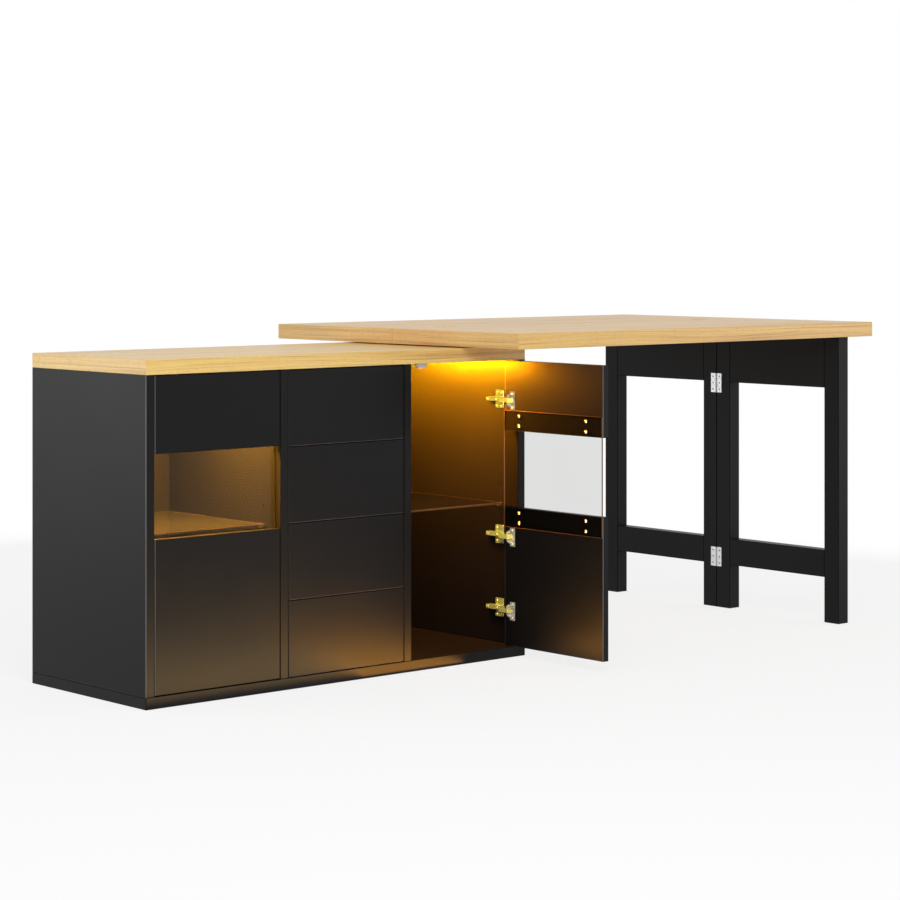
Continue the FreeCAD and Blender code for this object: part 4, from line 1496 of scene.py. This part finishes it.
@dataclass
class Studio:
    """Floor, backdrop, lamps and the camera."""

    strips: Sequence[Box]
    photo_size: float = 900.0
    focal_pixels: float = 2565.3
    horizon_row: float = 239.7
    sensor: float = 36.0
    camera_place: Vector = field(default_factory=lambda: Vector((-4.2480, -5.5005, 1.160)))
    camera_heading: Vector = field(default_factory=lambda: Vector((0.6603, 0.7510, 0.0)))
    ambient: float = 0.46
    floor_reach: float = 40.0
    floor_drop: float = 1.0 * MM
    studio_lamps: tuple[SoftLamp, ...] = (
        SoftLamp("key_light", Vector((-2.3, -4.2, 3.2)), OBJECT_MIDDLE, (3.2, 2.4), 125.0),
        SoftLamp("fill_light", Vector((4.6, -3.6, 3.0)), OBJECT_MIDDLE, (3.0, 2.4), 14.0),
        SoftLamp("side_panel", Vector((-3.7, 3.3, 1.25)), Vector((-0.6, 0.0, 0.6)), (2.0, 2.4), 52.0),
        SoftLamp("leg_card", Vector((4.1, -2.9, 0.6)), Vector((1.7, -0.4, 0.5)), (1.0, 1.2), 13.0))
    strip_lights: tuple[StripLight, ...] = (
        StripLight(0.0, 80.0, (1.0, 0.42, 0.03)), StripLight(90.0 * MM, 22.0, AMBER))
    strip_drop: float = 1.0 * MM
    wall_lights: tuple[WallLight, ...] = (
        WallLight(50.0 * MM, -50.0 * MM, 0.42, 1.7, (0.55, 0.90, 0.002)),
        WallLight(150.0 * MM, -50.0 * MM, 0.42, 22.5, AMBER),
        WallLight(150.0 * MM, 230.0 * MM, 0.138, 11.0, AMBER))
    wall_drop: float = 5.0 * MM
    wall_height: float = 8.0 * MM
    glow_lamps: tuple[SoftLamp, ...] = (
        SoftLamp("front_glow", Vector((-0.28, -0.55, 4.0 * MM)), Vector((-0.28, -0.55, 1.0)), (0.8, 0.45),
                 15.0, (1.0, 0.62, 0.24), only_reflected=True),
        SoftLamp("spill_glow", Vector((0.24, -0.45, 4.0 * MM)), Vector((0.24, -0.45, 1.0)), (0.36, 0.36),
                 11.0, (1.0, 0.42, 0.05), only_reflected=True))
    fitting_lamp: SoftLamp = SoftLamp("fitting_light", Vector((0.1, -0.8, 0.80)), Vector((0.62, -0.2, 0.72)),
                                      (0.4, 0.4), 38.0, (1.0, 0.78, 0.03))
    shaded: tuple[str, ...] = ("floor", "oak_worktop", "laminate_left_door_upper_panel",
                               "left_door_pane_edges", "right_door_softened_cups")
    shaded_right: tuple[str, ...] = ("shelf_panes", "laminate_right_door_lower_panel")
    fittings: tuple[str, ...] = ("hinge_mounts", "softened_hinge_arms", "hinge_plate_screws",
                                 "hinge_arm_screws", "right_door_flange_screws")

    def build(self) -> None:
        """Sets the whole studio up."""
        bpy.context.scene.view_settings.view_transform = "Standard"
        self._backdrop()
        self._floor()
        self._camera()
        for lamp in self.studio_lamps:
            lamp.build()
        unlit = (*self.shaded, *self.fittings)
        legs = [item.name for item in bpy.data.objects if item.name.startswith(LEG_PREFIX)]
        left_strip, *right_lamps = self._strip_lamps()
        for lamps, names in (((left_strip, *self.glow_lamps), unlit),
                             (right_lamps, (*unlit, *legs, *self.shaded_right))):
            receivers = self._receivers(Lighting.ALL_BUT, names)
            for lamp in lamps:
                lamp.build(receivers)
        self.fitting_lamp.build(self._receivers(Lighting.ONLY, self.fittings))

    def _strip_lamps(self) -> list[SoftLamp]:
        """The light of each strip into its compartment, and on the walls of the open one at the right.

        Returns:
            The left strip's lamp, and then those of the right strip.
        """
        lamps = []
        for light, (low, high) in zip(self.strip_lights, self.strips):
            middle = Vector(((low.x + high.x) / 2, (low.y + high.y) / 2, low.z - self.strip_drop))
            size = (high.x - low.x - 2 * light.inset, high.y - low.y)
            lamps.append(SoftLamp("strip_light", middle, middle - UPWARD, size, light.power, light.colour))
        low, high = self.strips[-1]
        for light in self.wall_lights:
            size = (light.length, self.wall_height)
            for x, side in ((low.x + light.reach, -1.0), (high.x - light.reach, 1.0)):
                spot = Vector((x, low.y + light.start + light.length / 2, low.z - self.wall_drop))
                target = spot + Vector((side, 0.0, 0.0))
                lamps.append(SoftLamp("wall_light", spot, target, size, light.power, light.colour))
        return lamps

    @staticmethod
    def _receivers(lighting: Lighting, names: Iterable[str]) -> bpy.types.Collection:
        """A list of receivers that keeps a lamp's light on some things, or off them.

        Args:
            lighting: Whether the lamp lights only these things, or all but them.
            names: The things' names.

        Returns:
            The list.
        """
        receivers = bpy.data.collections.new("receivers")
        for name in names:
            receivers.objects.link(bpy.data.objects[name])
        for entry in receivers.collection_objects:
            entry.light_linking.link_state = lighting.value
        return receivers

    def _backdrop(self) -> None:
        """White surroundings that light the object softly."""
        world = bpy.data.worlds.new("studio")
        world.use_nodes = True
        world.node_tree.nodes.clear()
        graph = Graph(world.node_tree)
        strength = self.ambient + graph.background() * (1.0 - self.ambient)
        sky = graph.node("ShaderNodeBackground", None, {"Color": (*WHITE, 1.0), "Strength": strength})
        graph.node("ShaderNodeOutputWorld", None, {"Surface": sky.wire()})
        bpy.context.scene.world = world

    def _floor(self) -> None:
        """The floor, a little below the object's feet."""
        mesh = bpy.data.meshes.new("floor")
        corners = [(x * self.floor_reach, y * self.floor_reach, -self.floor_drop)
                   for x, y in ((-1, -1), (1, -1), (1, 1), (-1, 1))]
        mesh.from_pydata(corners, [], [(0, 1, 2, 3)])
        floor = bpy.data.objects.new("floor", mesh)
        bpy.context.scene.collection.objects.link(floor)
        mesh.materials.append(PaleFloor("pale_floor").build())

    def _camera(self) -> None:
        """The camera at the photograph's place."""
        data = bpy.data.cameras.new("camera")
        data.sensor_width = self.sensor
        data.lens = self.focal_pixels * self.sensor / self.photo_size
        data.shift_y = (self.horizon_row - self.photo_size / 2) / self.photo_size
        camera = bpy.data.objects.new("camera", data)
        camera.location = self.camera_place
        camera.rotation_euler = self.camera_heading.to_track_quat("-Z", "Y").to_euler()
        bpy.context.scene.collection.objects.link(camera)
        bpy.context.scene.camera = camera


def main() -> None:
    """Builds every sub-assembly in order."""
    logging.basicConfig(level=logging.INFO, format="%(name)s: %(message)s")
    shop = Workshop(Finishes())
    fasteners = FastenerTree()
    strips = LightStrips(shop, DiodeTree())
    assemblies = [
        Carcass(shop), OakTops(shop), strips, Compartments(shop, fasteners),
        Door(shop, fasteners, "left_door", Facing.BACK), Door(shop, fasteners, "right_door", Facing.LEFT),
        HingeMounts(shop, fasteners), *(Drawer(shop, number) for number in range(1, 5)),
        Table(shop, fasteners),
    ]
    for assembly in assemblies:
        assembly.build()
    Studio(strips.boxes).build()


if __name__ == "__main__":
    main()
